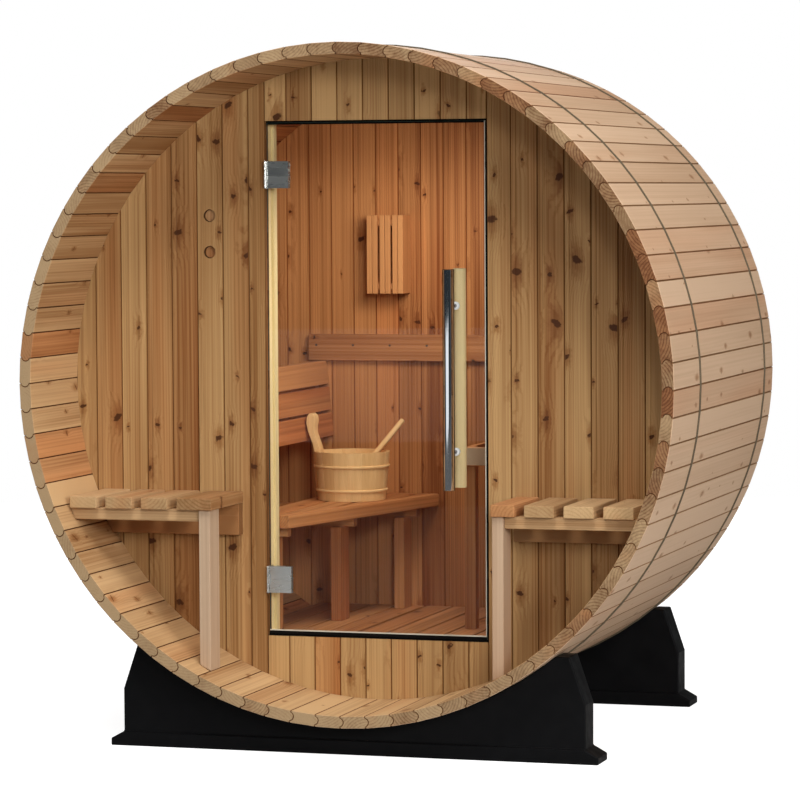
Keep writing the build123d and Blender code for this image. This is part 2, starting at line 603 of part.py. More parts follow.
def bucket():
    y = REAR_WALL_FRONT - BUCKET_SETBACK
    place = Pos(BUCKET_X, y, AXIS_HEIGHT + CABIN_BENCH_TOP)
    slope = (BUCKET_RIM_RADIUS - BUCKET_FOOT_RADIUS) / BUCKET_HEIGHT
    inside = BUCKET_FOOT_RADIUS - BUCKET_WALL - JOINT_GAP
    solids = [place * coopered(inside, inside + slope * BUCKET_FLOOR, BUCKET_FLOOR)]
    grip = BUCKET_STAVES // 2
    for k in range(BUCKET_STAVES):
        stave = bucket_stave(BUCKET_HEIGHT)
        if k == grip:
            stave = bucket_stave(BUCKET_HEIGHT + BUCKET_HANDLE_HEIGHT, BUCKET_HANDLE_WIDTH / 2)
        solids.append(place * Rot(0, 0, 2 * k * BUCKET_HALF_STAVE) * stave)
    keep("bucket", *solids)
    rings = []
    for height in BUCKET_HOOP_HEIGHTS:
        r0 = BUCKET_FOOT_RADIUS + slope * height + JOINT_GAP
        r1 = r0 + slope * BUCKET_HOOP_WIDTH
        ring = coopered(r0 + BUCKET_HOOP, r1 + BUCKET_HOOP, BUCKET_HOOP_WIDTH)
        ring -= coopered(r0, r1, BUCKET_HOOP_WIDTH)
        rings.append(place * Pos(0, 0, height) * ring)
    keep("bucket_hoops", *rings)

    # The ladle leans on the rim towards the back, with its cup on the bucket's floor.
    tilt = radians(LADLE_TILT)
    rim = BUCKET_RIM_RADIUS * cos(radians(BUCKET_HALF_STAVE)) - BUCKET_WALL
    lift = (LADLE_RADIUS + LADLE_LIFT) / cos(tilt)
    run = (BUCKET_HEIGHT + lift - BUCKET_FLOOR - LADLE_CUP_HEIGHT / 2) / tan(tilt)
    foot = rim - run
    length = run / cos(tilt) + LADLE_REACH
    handle = Pos(foot, 0, BUCKET_FLOOR + LADLE_CUP_HEIGHT / 2) * Rot(0, 90 - LADLE_TILT, 0)
    handle = handle * Pos(0, 0, length / 2) * Cylinder(LADLE_RADIUS, length)
    cup_foot = Pos(foot, 0, BUCKET_FLOOR + JOINT_GAP)
    cup = cup_foot * coopered(LADLE_CUP_RADIUS, LADLE_CUP_RADIUS, LADLE_CUP_HEIGHT)
    hollow_radius = LADLE_CUP_RADIUS - LADLE_CUP_WALL
    hollow = cup_foot * Pos(0, 0, LADLE_CUP_WALL) * coopered(
        hollow_radius, hollow_radius, LADLE_CUP_HEIGHT)
    keep("ladle", place * Rot(0, 0, LADLE_TURN) * (handle + cup - hollow))


# ---------------------------------------------------------------- cradles
def cradle(y0):
    saddle = RADIUS + JOINT_GAP
    ground = -AXIS_HEIGHT
    shoulder = ground + CRADLE_SHOULDER
    tip = ground + CRADLE_TIP
    foot = ground + CRADLE_FOOT_HEIGHT
    tip_half = CRADLE_HALF_WIDTH - CRADLE_TIP_SLOPE
    foot_half = CRADLE_HALF_WIDTH + CRADLE_FOOT_FLARE
    reach = sqrt(saddle ** 2 - tip ** 2)
    y1 = y0 + CRADLE_THICKNESS
    plate = prism([(-CRADLE_HALF_WIDTH, ground), (CRADLE_HALF_WIDTH, ground),
                   (CRADLE_HALF_WIDTH, shoulder), (tip_half, tip), (reach, tip),
                   (-reach, tip), (-tip_half, tip), (-CRADLE_HALF_WIDTH, shoulder)],
                  y0, y1)
    sole = CRADLE_FOOT_HEIGHT / 2
    flange = prism([(-foot_half, ground), (foot_half, ground),
                    (foot_half, ground + sole), (CRADLE_HALF_WIDTH, foot),
                    (-CRADLE_HALF_WIDTH, foot), (-foot_half, ground + sole)],
                   y0 - CRADLE_FOOT_LIP, y1 + CRADLE_FOOT_LIP)
    return plate + flange - rod(0, 0, y0 - RADIUS, y1 + RADIUS, saddle)


barrel()
hoops()
walls()
door_frame()
door()
porch_bench(-1, "left", LEFT_BENCH_TO_DOORWAY, LEFT_INNER_SLAT,
            LEFT_BENCH_TO_STAVES, LEFT_LEG_INSET)
porch_bench(1, "right", RIGHT_BENCH_TO_DOORWAY, RIGHT_INNER_SLAT,
            RIGHT_BENCH_TO_STAVES, RIGHT_LEG_INSET)
floor()
cabin_bench()
back_rail()
lamp_shade()
heater_guard()
bucket()
keep("cradle_front", cradle(FRONT_Y + FRONT_CRADLE_SETBACK))
keep("cradle_rear", cradle(BACK_Y - REAR_CRADLE_SETBACK - CRADLE_THICKNESS))

os.makedirs("parts", exist_ok=True)
for node, solids in parts.items():
    export_step(Compound(children=solids), f"parts/{node}.step")
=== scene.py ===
"""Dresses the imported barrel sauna: staves, walls, benches, glass door, fittings and studio."""
import json
import math
import random

import bmesh
import bpy
from mathutils import Matrix, Vector

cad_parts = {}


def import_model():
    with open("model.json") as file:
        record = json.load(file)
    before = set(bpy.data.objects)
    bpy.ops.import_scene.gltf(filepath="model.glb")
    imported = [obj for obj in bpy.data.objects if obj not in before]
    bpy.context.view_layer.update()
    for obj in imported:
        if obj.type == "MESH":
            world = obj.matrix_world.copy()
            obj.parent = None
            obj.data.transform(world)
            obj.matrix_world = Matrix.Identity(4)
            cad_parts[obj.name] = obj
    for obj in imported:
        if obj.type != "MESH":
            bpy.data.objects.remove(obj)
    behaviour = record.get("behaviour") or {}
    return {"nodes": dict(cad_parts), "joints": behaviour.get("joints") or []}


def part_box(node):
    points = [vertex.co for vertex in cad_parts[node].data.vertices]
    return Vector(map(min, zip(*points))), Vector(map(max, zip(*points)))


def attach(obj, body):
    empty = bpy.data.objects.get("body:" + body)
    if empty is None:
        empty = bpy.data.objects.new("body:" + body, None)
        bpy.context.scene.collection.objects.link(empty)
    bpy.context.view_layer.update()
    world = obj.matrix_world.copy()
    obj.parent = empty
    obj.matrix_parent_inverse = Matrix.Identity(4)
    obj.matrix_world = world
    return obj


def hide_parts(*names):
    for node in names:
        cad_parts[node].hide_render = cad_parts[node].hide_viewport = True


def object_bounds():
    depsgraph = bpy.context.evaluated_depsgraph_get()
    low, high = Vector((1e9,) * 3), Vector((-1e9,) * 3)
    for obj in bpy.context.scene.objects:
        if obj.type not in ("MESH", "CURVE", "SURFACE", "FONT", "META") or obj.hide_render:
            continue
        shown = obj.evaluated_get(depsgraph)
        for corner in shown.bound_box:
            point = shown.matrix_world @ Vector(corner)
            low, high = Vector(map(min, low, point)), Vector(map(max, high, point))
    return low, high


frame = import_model()
cad_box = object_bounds()
nodes = frame["nodes"]
draw = random.Random(80)

MM = 0.001
# Points this near to each other are one, and so are faces this near to one plane.
WELD = 0.01 * MM
FLAT = math.radians(0.6)

STAVE_COUNT = 80
STEP = 2 * math.pi / STAVE_COUNT
STAVE_THICKNESS = 38 * MM
BEAD_RADIUS = 14 * MM
BEAD_INSET = 3.5 * MM
CROZE_DEPTH = 5 * MM
JOINT = 0.9 * MM
BEAD_SEGMENTS = 10
INNER_ARRIS = 1.6 * MM
OUTER_ARRIS = 2.4 * MM
END_EASE = 1.2 * MM
# The surfaces of a stave, in the order of its piece's materials.
INSIDE, END, OUTSIDE, SIDE, ARRIS = range(5)
# Lightness and redness of the staves beside the left porch bench: one is very pale.
ODD_STAVES = {54: (0.1, -0.6), 55: (0.75, -2.0), 56: (0.05, 0.8), 57: (0.2, 1.0),
              58: (0.2, -0.8), 59: (0.0, 0.0), 60: (0.05, -0.3), 61: (-0.2, 1.0),
              62: (0.0, -0.1)}

# The door's hinge stands with its middle at the height of the barrel's axis.
AXIS_Z = frame["joints"][0]["pos_m"][2]
FRONT_Y = cad_box[0].y
BACK_Y = cad_box[1].y
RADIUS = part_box("barrel_staves_01")[1].z - AXIS_Z
OUTER_FLAT = RADIUS * math.cos(STEP / 2)
INNER_FLAT = OUTER_FLAT - STAVE_THICKNESS
WALL_FRONT, WALL_BACK = (corner.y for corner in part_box("front_wall_right"))
REAR_FRONT, REAR_BACK = (corner.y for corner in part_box("back_wall"))
DOOR_LEFT, DOOR_RIGHT = (corner.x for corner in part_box("front_wall_over_door"))
DOOR_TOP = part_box("front_wall_over_door")[0].z
DOOR_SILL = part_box("front_wall_under_door")[1].z

# From the axis to a wall's edge, just clear of the bottom of the croze.
WALL_REACH = INNER_FLAT + CROZE_DEPTH - JOINT
# Pitches of the wall boards, and how far the first joint is from the doorway's edge.
LEFT_PITCH, LEFT_FIRST = 88.6 * MM, 56 * MM
RIGHT_PITCH, RIGHT_FIRST = 87 * MM, 78 * MM
MIDDLE_PITCH, MIDDLE_FIRST_X = 86.3 * MM, -298 * MM
REAR_PITCH, REAR_SHIFT = 82 * MM, 30 * MM

VENT_X = DOOR_LEFT - 190 * MM
VENT_HEIGHTS = (411 * MM, 529 * MM)
VENT_RADIUS = 20 * MM

BUCKET_FOOT, BUCKET_RIM = 116 * MM, 131 * MM
BUCKET_HEIGHT, BUCKET_WALL = 166 * MM, 12 * MM
BUCKET_SLOPE = (BUCKET_RIM - BUCKET_FOOT) / BUCKET_HEIGHT
BUCKET_STAVES = 16
# Half of the gap between two of its staves, as an angle.
BUCKET_GAP = 0.0008
# Its bands' section, as (out, up) from their lower inner edge, in millimetres.
BAND = ((-0.5, 0), (3.6, 0.8), (4.8, 3), (4.9, 6), (4.0, 8.4), (0.2, 9))
BAND_HEIGHTS = (30 * MM, 112 * MM)
# The carved grip on one of the bucket's staves: (out, up) from the foot, in millimetres.
GRIP = ((20, 190), (29, 213), (37, 236), (42, 260), (41, 280), (33, 294), (21, 296), (11, 286),
        (8, 270), (12, 250), (12, 230), (5, 208), (-4, 184), (-9, 166))
GRIP_HALF_WIDTH = 22 * MM

# From the door handles' middle to each bolt.
BOLT_REACH = 233 * MM


# ---------------- shader building
def paint(colour):
    """A display colour, 0 to 255, as the linear colour that a shader takes."""
    def linear(value):
        value /= 255
        return value / 12.92 if value <= 0.04045 else ((value + 0.055) / 1.055) ** 2.4
    return (*(linear(value) for value in colour), 1.0)


MATERIALS = {}


class Shader:
    """A material, or the world, written one node at a time."""

    def __init__(self, name, library=bpy.data.materials, output="OutputMaterial"):
        self.name = name
        self.owner = library.new(name)
        self.owner.use_nodes = True
        self.tree = self.owner.node_tree
        self.tree.nodes.clear()
        self.output = self.add(output)

    def add(self, kind, inputs=None, **settings):
        """Add a node; each input is a value or the socket that feeds it."""
        node = self.tree.nodes.new("ShaderNode" + kind)
        for key, value in settings.items():
            setattr(node, key, value)
        for key, value in (inputs or {}).items():
            if isinstance(value, bpy.types.NodeSocket):
                self.tree.links.new(value, node.inputs[key])
            else:
                node.inputs[key].default_value = value
        return node

    def math(self, operation, *values, clamp=False):
        inputs = dict(enumerate(values))
        return self.add("Math", inputs, operation=operation, use_clamp=clamp).outputs[0]

    def vector(self, operation, *values):
        node = self.add("VectorMath", dict(enumerate(values)), operation=operation)
        return node.outputs["Value" if operation == "LENGTH" else "Vector"]

    def blend(self, factor, a, b, mode="MIX"):
        node = self.add("Mix", {0: factor, 6: a, 7: b}, data_type="RGBA", blend_type=mode)
        return node.outputs[2]

    def spread(self, value, low, high, to_low=0.0, to_high=1.0):
        """A value carried smoothly to another range."""
        node = self.add("MapRange", {0: value, 1: low, 2: high, 3: to_low, 4: to_high},
                        interpolation_type="SMOOTHSTEP")
        return node.outputs[0]

    def noise(self, vector, scale=1.0, detail=2.0, roughness=0.5):
        return self.add("TexNoise", {"Vector": vector, "Scale": scale, "Detail": detail,
                                     "Roughness": roughness})

    def texture(self, grain, pace, detail=2.0, roughness=0.5):
        """Noise that changes at its own pace in each of a board's directions."""
        return self.noise(self.vector("MULTIPLY", grain, pace), 1.0, detail, roughness)

    def sway(self, grain, pace, reach):
        """A vector that wanders about nought, up to half of its reach to each side."""
        colour = self.texture(grain, pace).outputs["Color"]
        return self.vector("MULTIPLY", self.vector("SUBTRACT", colour, (0.5, 0.5, 0.5)), reach)

    def axes(self, vector):
        node = self.add("SeparateXYZ", {0: vector})
        return node.outputs[0], node.outputs[1], node.outputs[2]

    def finish(self, kind, inputs):
        """Add the last node, connect it to the output, and keep the result by its name."""
        node = self.add(kind, inputs)
        self.tree.links.new(node.outputs[0], self.output.inputs[0])
        MATERIALS[self.name] = self.owner
        return self.owner


# How quickly each unevenness of wood changes, along, across and through the board.
KNOT_EDGE = (70, 70, 70)
PITH_DRIFT = (0.6, 7, 7)
ZONE = (0.9, 14, 14)
STREAK = (0.5, 90, 90)
FIBRE = (4, 420, 420)
PORES = (300, 700, 700)
KNOT_SPACING = 90 * MM
WOOD_SHINE = 0.22


def knots(s, grain, room, radius, share, shape):
    """Masks of scattered knots: the knot, the darker wood round it and its swirl, and the
    knot's size."""
    cell = s.vector("MULTIPLY", grain, (1 / room, 1 / KNOT_SPACING, 0))
    point = s.add("TexVoronoi", {"Vector": cell, "Scale": 1.0, "Randomness": 0.8},
                  voronoi_dimensions="2D")
    away = s.vector("SUBTRACT", cell, point.outputs["Position"])
    away = s.vector("MULTIPLY", away, (room, KNOT_SPACING, 0))
    red, green, blue = s.axes(point.outputs["Color"])
    lean = s.math("MULTIPLY_ADD", blue, 1.5, -0.75)
    spike = s.add("VectorRotate", {"Vector": away, "Angle": lean}, rotation_type="Z_AXIS")
    spike = s.vector("MULTIPLY", spike.outputs[0], (*shape, 0))
    wobble = s.sway(grain, KNOT_EDGE, (1.6 * radius, 1.6 * radius, 0))
    size = s.math("MULTIPLY_ADD", s.math("POWER", red, 1.6), 0.95 * radius, 0.35 * radius)
    size = s.math("MULTIPLY", size, s.math("LESS_THAN", green, share))
    size = s.math("MAXIMUM", size, 1e-5)
    near = s.math("DIVIDE", s.vector("LENGTH", s.vector("ADD", spike, wobble)), size)
    round_it = s.vector("MULTIPLY", away, (0.45, 1.1, 0))
    beside = s.math("DIVIDE", s.vector("LENGTH", s.vector("ADD", round_it, wobble)), size)
    core = s.spread(near, 1.1, 0.7)
    halo, swirl = s.spread(beside, 2.4, 0.5), s.spread(beside, 4.5, 0)
    return core, halo, swirl, size


def board_values(s, end):
    """A board's own coordinates, lightness and redness; sawn ends have a lightness of theirs."""
    grain = s.add("Attribute", attribute_name="grain").outputs["Vector"]
    values = s.add("Attribute", attribute_name="tone").outputs["Vector"]
    tone, redness, end_tone = s.axes(values)
    if end:
        tone = s.math("ADD", tone, end_tone)
        redness = s.math("MULTIPLY_ADD", end_tone, -1.6, redness)
    return grain, tone, redness


def late_wood(s, grain, rings, bulge):
    """The dark part of the growth rings, about a pith that wanders along the board."""
    drift = s.sway(grain, PITH_DRIFT, (0.0, 14 * MM, 14 * MM))
    across = s.vector("MULTIPLY", s.vector("ADD", grain, drift), (0, 1, 1))
    growth = s.math("ADD", s.vector("LENGTH", across), bulge)
    ring = s.math("SINE", s.math("MULTIPLY", growth, 2 * math.pi / rings))
    return s.math("POWER", s.math("MULTIPLY_ADD", ring, 0.5, 0.5), 2.5)


def darkness(s, grain, late, fibre, zone, end, contrast):
    """How dark the wood is from rings, streaks, fibre and broad zones together."""
    streak = s.texture(grain, STREAK, 3.0, 0.6).outputs[0]
    ring_weight = 0.5 if end else 0.2
    mixed = s.math("MULTIPLY_ADD", late, ring_weight * contrast, 0.12)
    for value, weight in ((s.spread(streak, 0.35, 0.68), 0.36),
                          (s.math("SUBTRACT", fibre, 0.5), 0.3),
                          (s.math("SUBTRACT", zone, 0.5), 1.1)):
        mixed = s.math("ADD", mixed, s.math("MULTIPLY", value, weight * contrast))
    return mixed


def reddened(s, colour, light, redness):
    """The colour turned redder where redness is positive, and paler where it is negative."""
    redder = s.blend(1.0, colour, (0.92, 0.66, 0.52, 1), "MULTIPLY")
    paler = s.blend(0.5, colour, light)
    colour = s.blend(s.math("MULTIPLY", redness, 1.0, clamp=True), colour, redder)
    return s.blend(s.math("MULTIPLY", redness, -1.0, clamp=True), colour, paler)


def knotted(s, colour, core, halo, knot_colour):
    """The colour with dark knots and the browner wood round them."""
    around = s.blend(1.0, colour, (0.55, 0.38, 0.24, 1), "MULTIPLY")
    colour = s.blend(s.math("MULTIPLY", halo, 0.75), colour, around)
    return s.blend(s.math("MULTIPLY", core, 0.95), colour, knot_colour)


def wood(name, light, dark, cabin=None, end=False, contrast=1.0, blush=1.0, roughness=0.62,
         rings=7 * MM, knot_share=0.0, knot_size=9 * MM, knot_room=0.34,
         knot_colour=(62, 32, 10), knot_shape=(1.4, 0.85)):
    """Sawn softwood from the board's own coordinates: growth rings, fibre, knots, tone. Light
    and dark give way to the cabin's colours behind the front wall, where there are any: painted
    warm light of the cabin."""
    s = Shader(name)
    light, dark = paint(light), paint(dark)
    grain, tone, redness = board_values(s, end)
    core, halo, swirl, size = knots(s, grain, knot_room, knot_size, knot_share, knot_shape)
    late = late_wood(s, grain, rings, s.math("MULTIPLY", swirl, size))
    fibre = s.texture(grain, FIBRE).outputs[0]
    zone, warm, _ = s.axes(s.texture(grain, ZONE, 1.0).outputs["Color"])
    mixed = darkness(s, grain, late, fibre, zone, end, contrast)
    mixed = s.math("SUBTRACT", mixed, tone, clamp=True)
    colour = s.blend(mixed, light, dark)
    # Painted light: behind the front wall the same boards take the cabin's warmer colours.
    if cabin:
        place = s.add("TexCoord").outputs["Object"]
        inside = s.spread(s.axes(place)[1], WALL_FRONT, WALL_BACK)
        colour = s.blend(inside, colour, s.blend(mixed, *map(paint, cabin)))
    redness = s.math("MULTIPLY", s.math("ADD", redness, s.math("MULTIPLY_ADD", warm, 1.6, -0.8)),
                     blush)
    colour = reddened(s, colour, light, redness)
    colour = knotted(s, colour, core, halo, paint(knot_colour))
    rise = s.math("SUBTRACT", s.math("MULTIPLY", fibre, 0.7), s.math("MULTIPLY", late, 0.4))
    if end:
        pores = s.texture(grain, PORES, 3.0).outputs[0]
        colour = s.blend(s.spread(pores, 0.45, 0.8, 0.0, 0.4), colour, dark)
        rise = s.math("ADD", rise, pores)
    normal = s.add("Bump", {"Height": rise, "Strength": 0.35, "Distance": 0.4 * MM})
    s.finish("BsdfPrincipled", {"Base Color": colour, "Roughness": roughness,
                                "Specular IOR Level": WOOD_SHINE,
                                "Normal": normal.outputs[0]})


def plain(name, colour, roughness, metallic=0.0, speckle=0.15, scale=300.0, stretch=(1, 1, 1),
          bump=0.1, shine=0.5, rim=None):
    """A metal, plastic or rubber with a little unevenness of colour and surface; rim is the
    grey that it darkens to where it turns away from the camera, a painted dark reflection."""
    s = Shader(name)
    place = s.vector("MULTIPLY", s.add("TexCoord").outputs["Object"], stretch)
    grain = s.noise(place, scale=scale, detail=3.0).outputs[0]
    patch = s.noise(place, scale=scale / 40, detail=2.0).outputs[0]
    worn = tuple(min(1.0, c * (1 + 2 * speckle) + 0.01 * speckle) for c in colour[:3]) + (1.0,)
    mixed = s.math("MULTIPLY", s.math("ADD", grain, patch), 0.5)
    tint = s.blend(mixed, colour, worn)
    if rim is not None:
        # Painted dark reflection: the colour turns to the rim grey where the surface turns away
        # from the camera.
        facing = s.add("LayerWeight", {"Blend": 0.5}).outputs["Facing"]
        edge = s.spread(facing, 0.3, 0.6)
        tint = s.blend(edge, tint, (rim, rim, rim, 1))
    rough = s.spread(patch, 0.2, 0.8, roughness * 0.8, min(1.0, roughness * 1.2))
    normal = s.add("Bump", {"Height": grain, "Strength": bump, "Distance": 0.2 * MM})
    s.finish("BsdfPrincipled", {"Base Color": tint, "Roughness": rough, "Metallic": metallic,
                                "Specular IOR Level": shine, "Normal": normal.outputs[0]})


def clear_glass():
    """Clear glass with a faint green, which lets the light into the cabin."""
    s = Shader("clear_glass")
    fresnel = s.math("MULTIPLY", s.add("Fresnel", {"IOR": 1.45}).outputs[0], 0.35)
    smudge = s.noise(s.add("TexCoord").outputs["Object"], scale=6.0).outputs[0]
    gloss = s.add("BsdfGlossy", {"Roughness": s.spread(smudge, 0.3, 0.8, 0.0, 0.02)})
    through = s.add("BsdfTransparent", {"Color": (0.97, 0.985, 0.975, 1)})
    s.finish("MixShader", {0: fresnel, 1: through.outputs[0], 2: gloss.outputs[0]})


# The paler and the darker wood on the porch, and the same boards in the cabin's painted warm
# light.
PORCH = ((202, 164, 118), (140, 96, 54))
CABIN_WARM_LIGHT = ((202, 140, 88), (132, 72, 30))
wood("stave_inner", *PORCH, cabin=CABIN_WARM_LIGHT, knot_share=0.45, knot_size=8 * MM, knot_room=0.2,
     knot_colour=(104, 60, 26), knot_shape=(2.4, 0.6))
wood("stave_outer", (212, 178, 146), (176, 138, 104), contrast=0.6, blush=0.45,
     knot_share=0.45, knot_size=6 * MM, knot_room=0.19, knot_colour=(128, 88, 56),
     knot_shape=(3.0, 0.45))
wood("stave_end", (170, 142, 106), (100, 68, 42), end=True, contrast=0.75,
     roughness=0.85, rings=9 * MM)
# Painted shade and dirt: the stave sides and arrises take these darker woods, so the joints read
# dark.
wood("joint_inner_dirt_and_shade", (100, 60, 26), (70, 38, 14), roughness=0.9)
wood("joint_outer_dirt_and_shade", (150, 112, 76), (112, 78, 46), roughness=0.9)
wood("wall", (188, 150, 100), (126, 82, 40), cabin=CABIN_WARM_LIGHT, knot_share=0.85,
     knot_size=13 * MM, knot_room=0.24, knot_colour=(68, 34, 10))
# Painted shade: the V joints and slits between wall boards take these darker woods.
wood("wall_groove_shade", (138, 96, 52), (98, 60, 26), roughness=0.9)
wood("cabin_wall", (204, 140, 86), (128, 68, 28), contrast=1.15, knot_share=0.7,
     knot_size=11 * MM, knot_room=0.25, knot_colour=(76, 34, 10))
wood("cabin_groove_shade", (168, 100, 54), (122, 66, 28), roughness=0.9)
wood("vent_side_shade", (96, 62, 30), (70, 42, 18), roughness=0.9)
wood("bench", (204, 168, 124), (150, 108, 66), knot_share=0.15, knot_size=7 * MM,
     knot_room=0.25)
wood("bench_end", (192, 158, 114), (130, 92, 54), end=True, contrast=0.5, roughness=0.8,
     rings=11 * MM)
wood("cabin_wood", (204, 142, 90), (138, 76, 34), knot_share=0.3)
wood("cabin_end", (190, 128, 80), (112, 62, 28), end=True)
wood("floor", (196, 134, 84), (128, 76, 38), knot_share=0.3, blush=0.5)
wood("leg", (190, 162, 134), (152, 122, 94), contrast=0.6, blush=0.4)
wood("pale", (236, 210, 162), (206, 172, 118), contrast=0.7, blush=0.3)
wood("jamb", (248, 228, 176), (216, 186, 128), contrast=0.8, blush=0.3)
wood("bucket", (246, 204, 146), (214, 162, 100), contrast=0.6, rings=3 * MM, blush=0.3)
wood("bucket_end", (220, 176, 120), (176, 124, 72), end=True, contrast=0.6)
plain("chrome", (0.82, 0.83, 0.85, 1), 0.05, metallic=1.0, speckle=0.02, bump=0.01,
      rim=0.06)
plain("satin", (0.56, 0.57, 0.55, 1), 0.26, metallic=1.0, speckle=0.04,
      stretch=(1, 1, 4), bump=0.01)
plain("hoop", (0.080, 0.062, 0.040, 1), 0.7, speckle=0.5, bump=0.2, shine=0.05)
plain("rubber", (0.004, 0.0035, 0.003, 1), 0.7, speckle=0.2, shine=0.05)
plain("cradle", (0.0022, 0.0022, 0.0025, 1), 0.45, speckle=0.4, scale=900.0, bump=0.2,
      shine=0.06)
plain("screw", (0.03, 0.02, 0.015, 1), 0.5, speckle=0.3)
plain("washer", (0.72, 0.73, 0.72, 1), 0.3, speckle=0.05)
clear_glass()
plain("glass_edge", (0.03, 0.05, 0.04, 1), 0.3, speckle=0.05, shine=0.3)
# Painted highlight on the glass's lower and latch edges.
plain("glass_edge_highlight", (0.50, 0.47, 0.38, 1), 0.4, speckle=0.05)


# ---------------- pieces
def new_object(name, data):
    """An object in the scene."""
    obj = bpy.data.objects.new(name, data)
    bpy.context.scene.collection.objects.link(obj)
    return obj


class Piece:
    """One visible object, gathered from boards that each keep their own grain and tone."""

    def __init__(self, name, *materials):
        self.name = name
        self.materials = materials
        self.bm = bmesh.new()
        self.bm.verts.layers.float_vector.new("grain")
        self.bm.verts.layers.float_vector.new("tone")

    def board(self, part, along, through, tone=0.16, red=0.35, end_slot=None, lift=0.0,
              flush=0.0, end_lift=0.0):
        """Add a finished board; along is its grain and through its thickness. Tone and red
        scatter its lightness and redness, lift and flush shift them."""
        along = Vector(along).normalized()
        through = Vector(through).normalized()
        across = through.cross(along)
        centre = sum((v.co for v in part.verts), Vector()) / len(part.verts)
        start = Vector((draw.uniform(0, 40), draw.choice((-1, 1)) * draw.uniform(0.035, 0.07),
                        draw.choice((-1, 1)) * draw.uniform(0.03, 0.11)))
        grain = part.verts.layers.float_vector.new("grain")
        shade = part.verts.layers.float_vector.new("tone")
        value = Vector((lift + max(-1.6, min(1.6, draw.gauss(0, 1))) * tone,
                        flush + draw.gauss(0, 1) * red, end_lift))
        for v in part.verts:
            p = v.co - centre
            v[grain] = start + Vector((p.dot(along), p.dot(across), p.dot(through)))
            v[shade] = value
        if end_slot is not None:
            part.normal_update()
            for face in part.faces:
                if abs(face.normal.dot(along)) > 0.75:
                    face.material_index = end_slot
        self.merge(part)

    def merge(self, part):
        """Add a finished part as it is."""
        mesh = bpy.data.meshes.new("part")
        part.to_mesh(mesh)
        self.bm.from_mesh(mesh)
        bpy.data.meshes.remove(mesh)
        part.free()

    def make(self, body="root", replaces=(), smooth=40):
        """Turn the gathered boards into a scene object that rides on a body."""
        mesh = bpy.data.meshes.new(self.name)
        bmesh.ops.recalc_face_normals(self.bm, faces=self.bm.faces)
        self.bm.to_mesh(mesh)
        self.bm.free()
        for name in self.materials:
            mesh.materials.append(MATERIALS[name])
        mesh.polygons.foreach_set("use_smooth", [True] * len(mesh.polygons))
        mesh.set_sharp_from_angle(angle=math.radians(smooth))
        obj = new_object(self.name, mesh)
        weighted = obj.modifiers.new("weighted", "WEIGHTED_NORMAL")
        weighted.keep_sharp = True
        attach(obj, body)
        if replaces:
            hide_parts(*replaces)
        return obj


def ease_edges(part, width, segments=2, angle=30):
    """Round the sharp edges of a board."""
    part.normal_update()
    sharp = [e for e in part.edges if len(e.link_faces) == 2
             and e.calc_face_angle(0) > math.radians(angle)]
    if width and sharp:
        bmesh.ops.bevel(part, geom=sharp, offset=width, offset_type="OFFSET",
                        segments=segments, profile=0.5, affect="EDGES", clamp_overlap=True)
    return part


def solids(node):
    """A CAD node's separate solids, each a mesh without needless points."""
    whole = bmesh.new()
    whole.from_mesh(nodes[node].data)
    bmesh.ops.remove_doubles(whole, verts=whole.verts, dist=WELD)
    bmesh.ops.dissolve_limit(whole, angle_limit=FLAT, verts=whole.verts, edges=whole.edges)
    seen = set()
    found = []
    for first in whole.verts:
        if first in seen:
            continue
        group, queue = [], [first]
        seen.add(first)
        while queue:
            vert = queue.pop()
            group.append(vert)
            for edge in vert.link_edges:
                other = edge.other_vert(vert)
                if other not in seen:
                    seen.add(other)
                    queue.append(other)
        part = bmesh.new()
        copies = {v: part.verts.new(v.co) for v in group}
        # A set's order varies, and the fine grain of dressed boards with it.
        for face in {f for v in group for f in v.link_faces}:
            part.faces.new([copies[v] for v in face.verts])
        found.append(part)
    whole.free()
    return found


def grain_of(part):
    """The direction of a board's longest edge, and the normal of its largest face beside it."""
    longest = max(part.edges, key=lambda e: e.calc_length())
    along = (longest.verts[1].co - longest.verts[0].co).normalized()
    part.normal_update()
    beside = [f for f in part.faces if abs(f.normal.dot(along)) < 0.3]
    through = max(beside, key=lambda f: f.calc_area()).normal
    return along, (through - along * through.dot(along)).normalized()


def dress(node, material, ease=2.5 * MM, end=None, body="root", tone=0.14, red=0.35,
          lift=0.0, shaded_rear_lift=None):
    """Rebuild a CAD node's boards with eased edges and wood grain of their own. Boards that
    reach the front wall have the rear lift, if there is one, as painted shade."""
    piece = Piece(node + "_boards", material, end or material)
    for part in solids(node):
        along, through = grain_of(part)
        rear = shaded_rear_lift is not None and max(v.co.y for v in part.verts) > WALL_FRONT - 5 * MM
        piece.board(ease_edges(part, ease), along, through, tone=tone, red=red, end_slot=1,
                    lift=shaded_rear_lift if rear else lift)
    return piece.make(body, (node,))


def block(low, high):
    """A square-edged box between two corners."""
    part = bmesh.new()
    bmesh.ops.create_cube(part, size=1.0)
    low, high = Vector(low), Vector(high)
    for v in part.verts:
        v.co = Vector((low[i] + (v.co[i] + 0.5) * (high[i] - low[i]) for i in range(3)))
    return part


def disc(place, radius, depth, segments=32, ease=0.0, part=None):
    """A disc that faces along Y, added to a part if one is given."""
    part = bmesh.new() if part is None else part
    turn = Matrix.Rotation(math.pi / 2, 4, "X")
    bmesh.ops.create_cone(part, cap_ends=True, segments=segments, radius1=radius,
                          radius2=radius, depth=depth, matrix=Matrix.Translation(place) @ turn)
    return ease_edges(part, ease, angle=60)


def strip(part, one, two):
    """The ring of faces between two loops of as many corners."""
    count = len(one)
    return [part.faces.new((one[i], two[i], two[(i + 1) % count], one[(i + 1) % count]))
            for i in range(count)]


def moved(part, matrix):
    """A part moved as a whole."""
    bmesh.ops.transform(part, matrix=matrix, verts=part.verts)
    return part


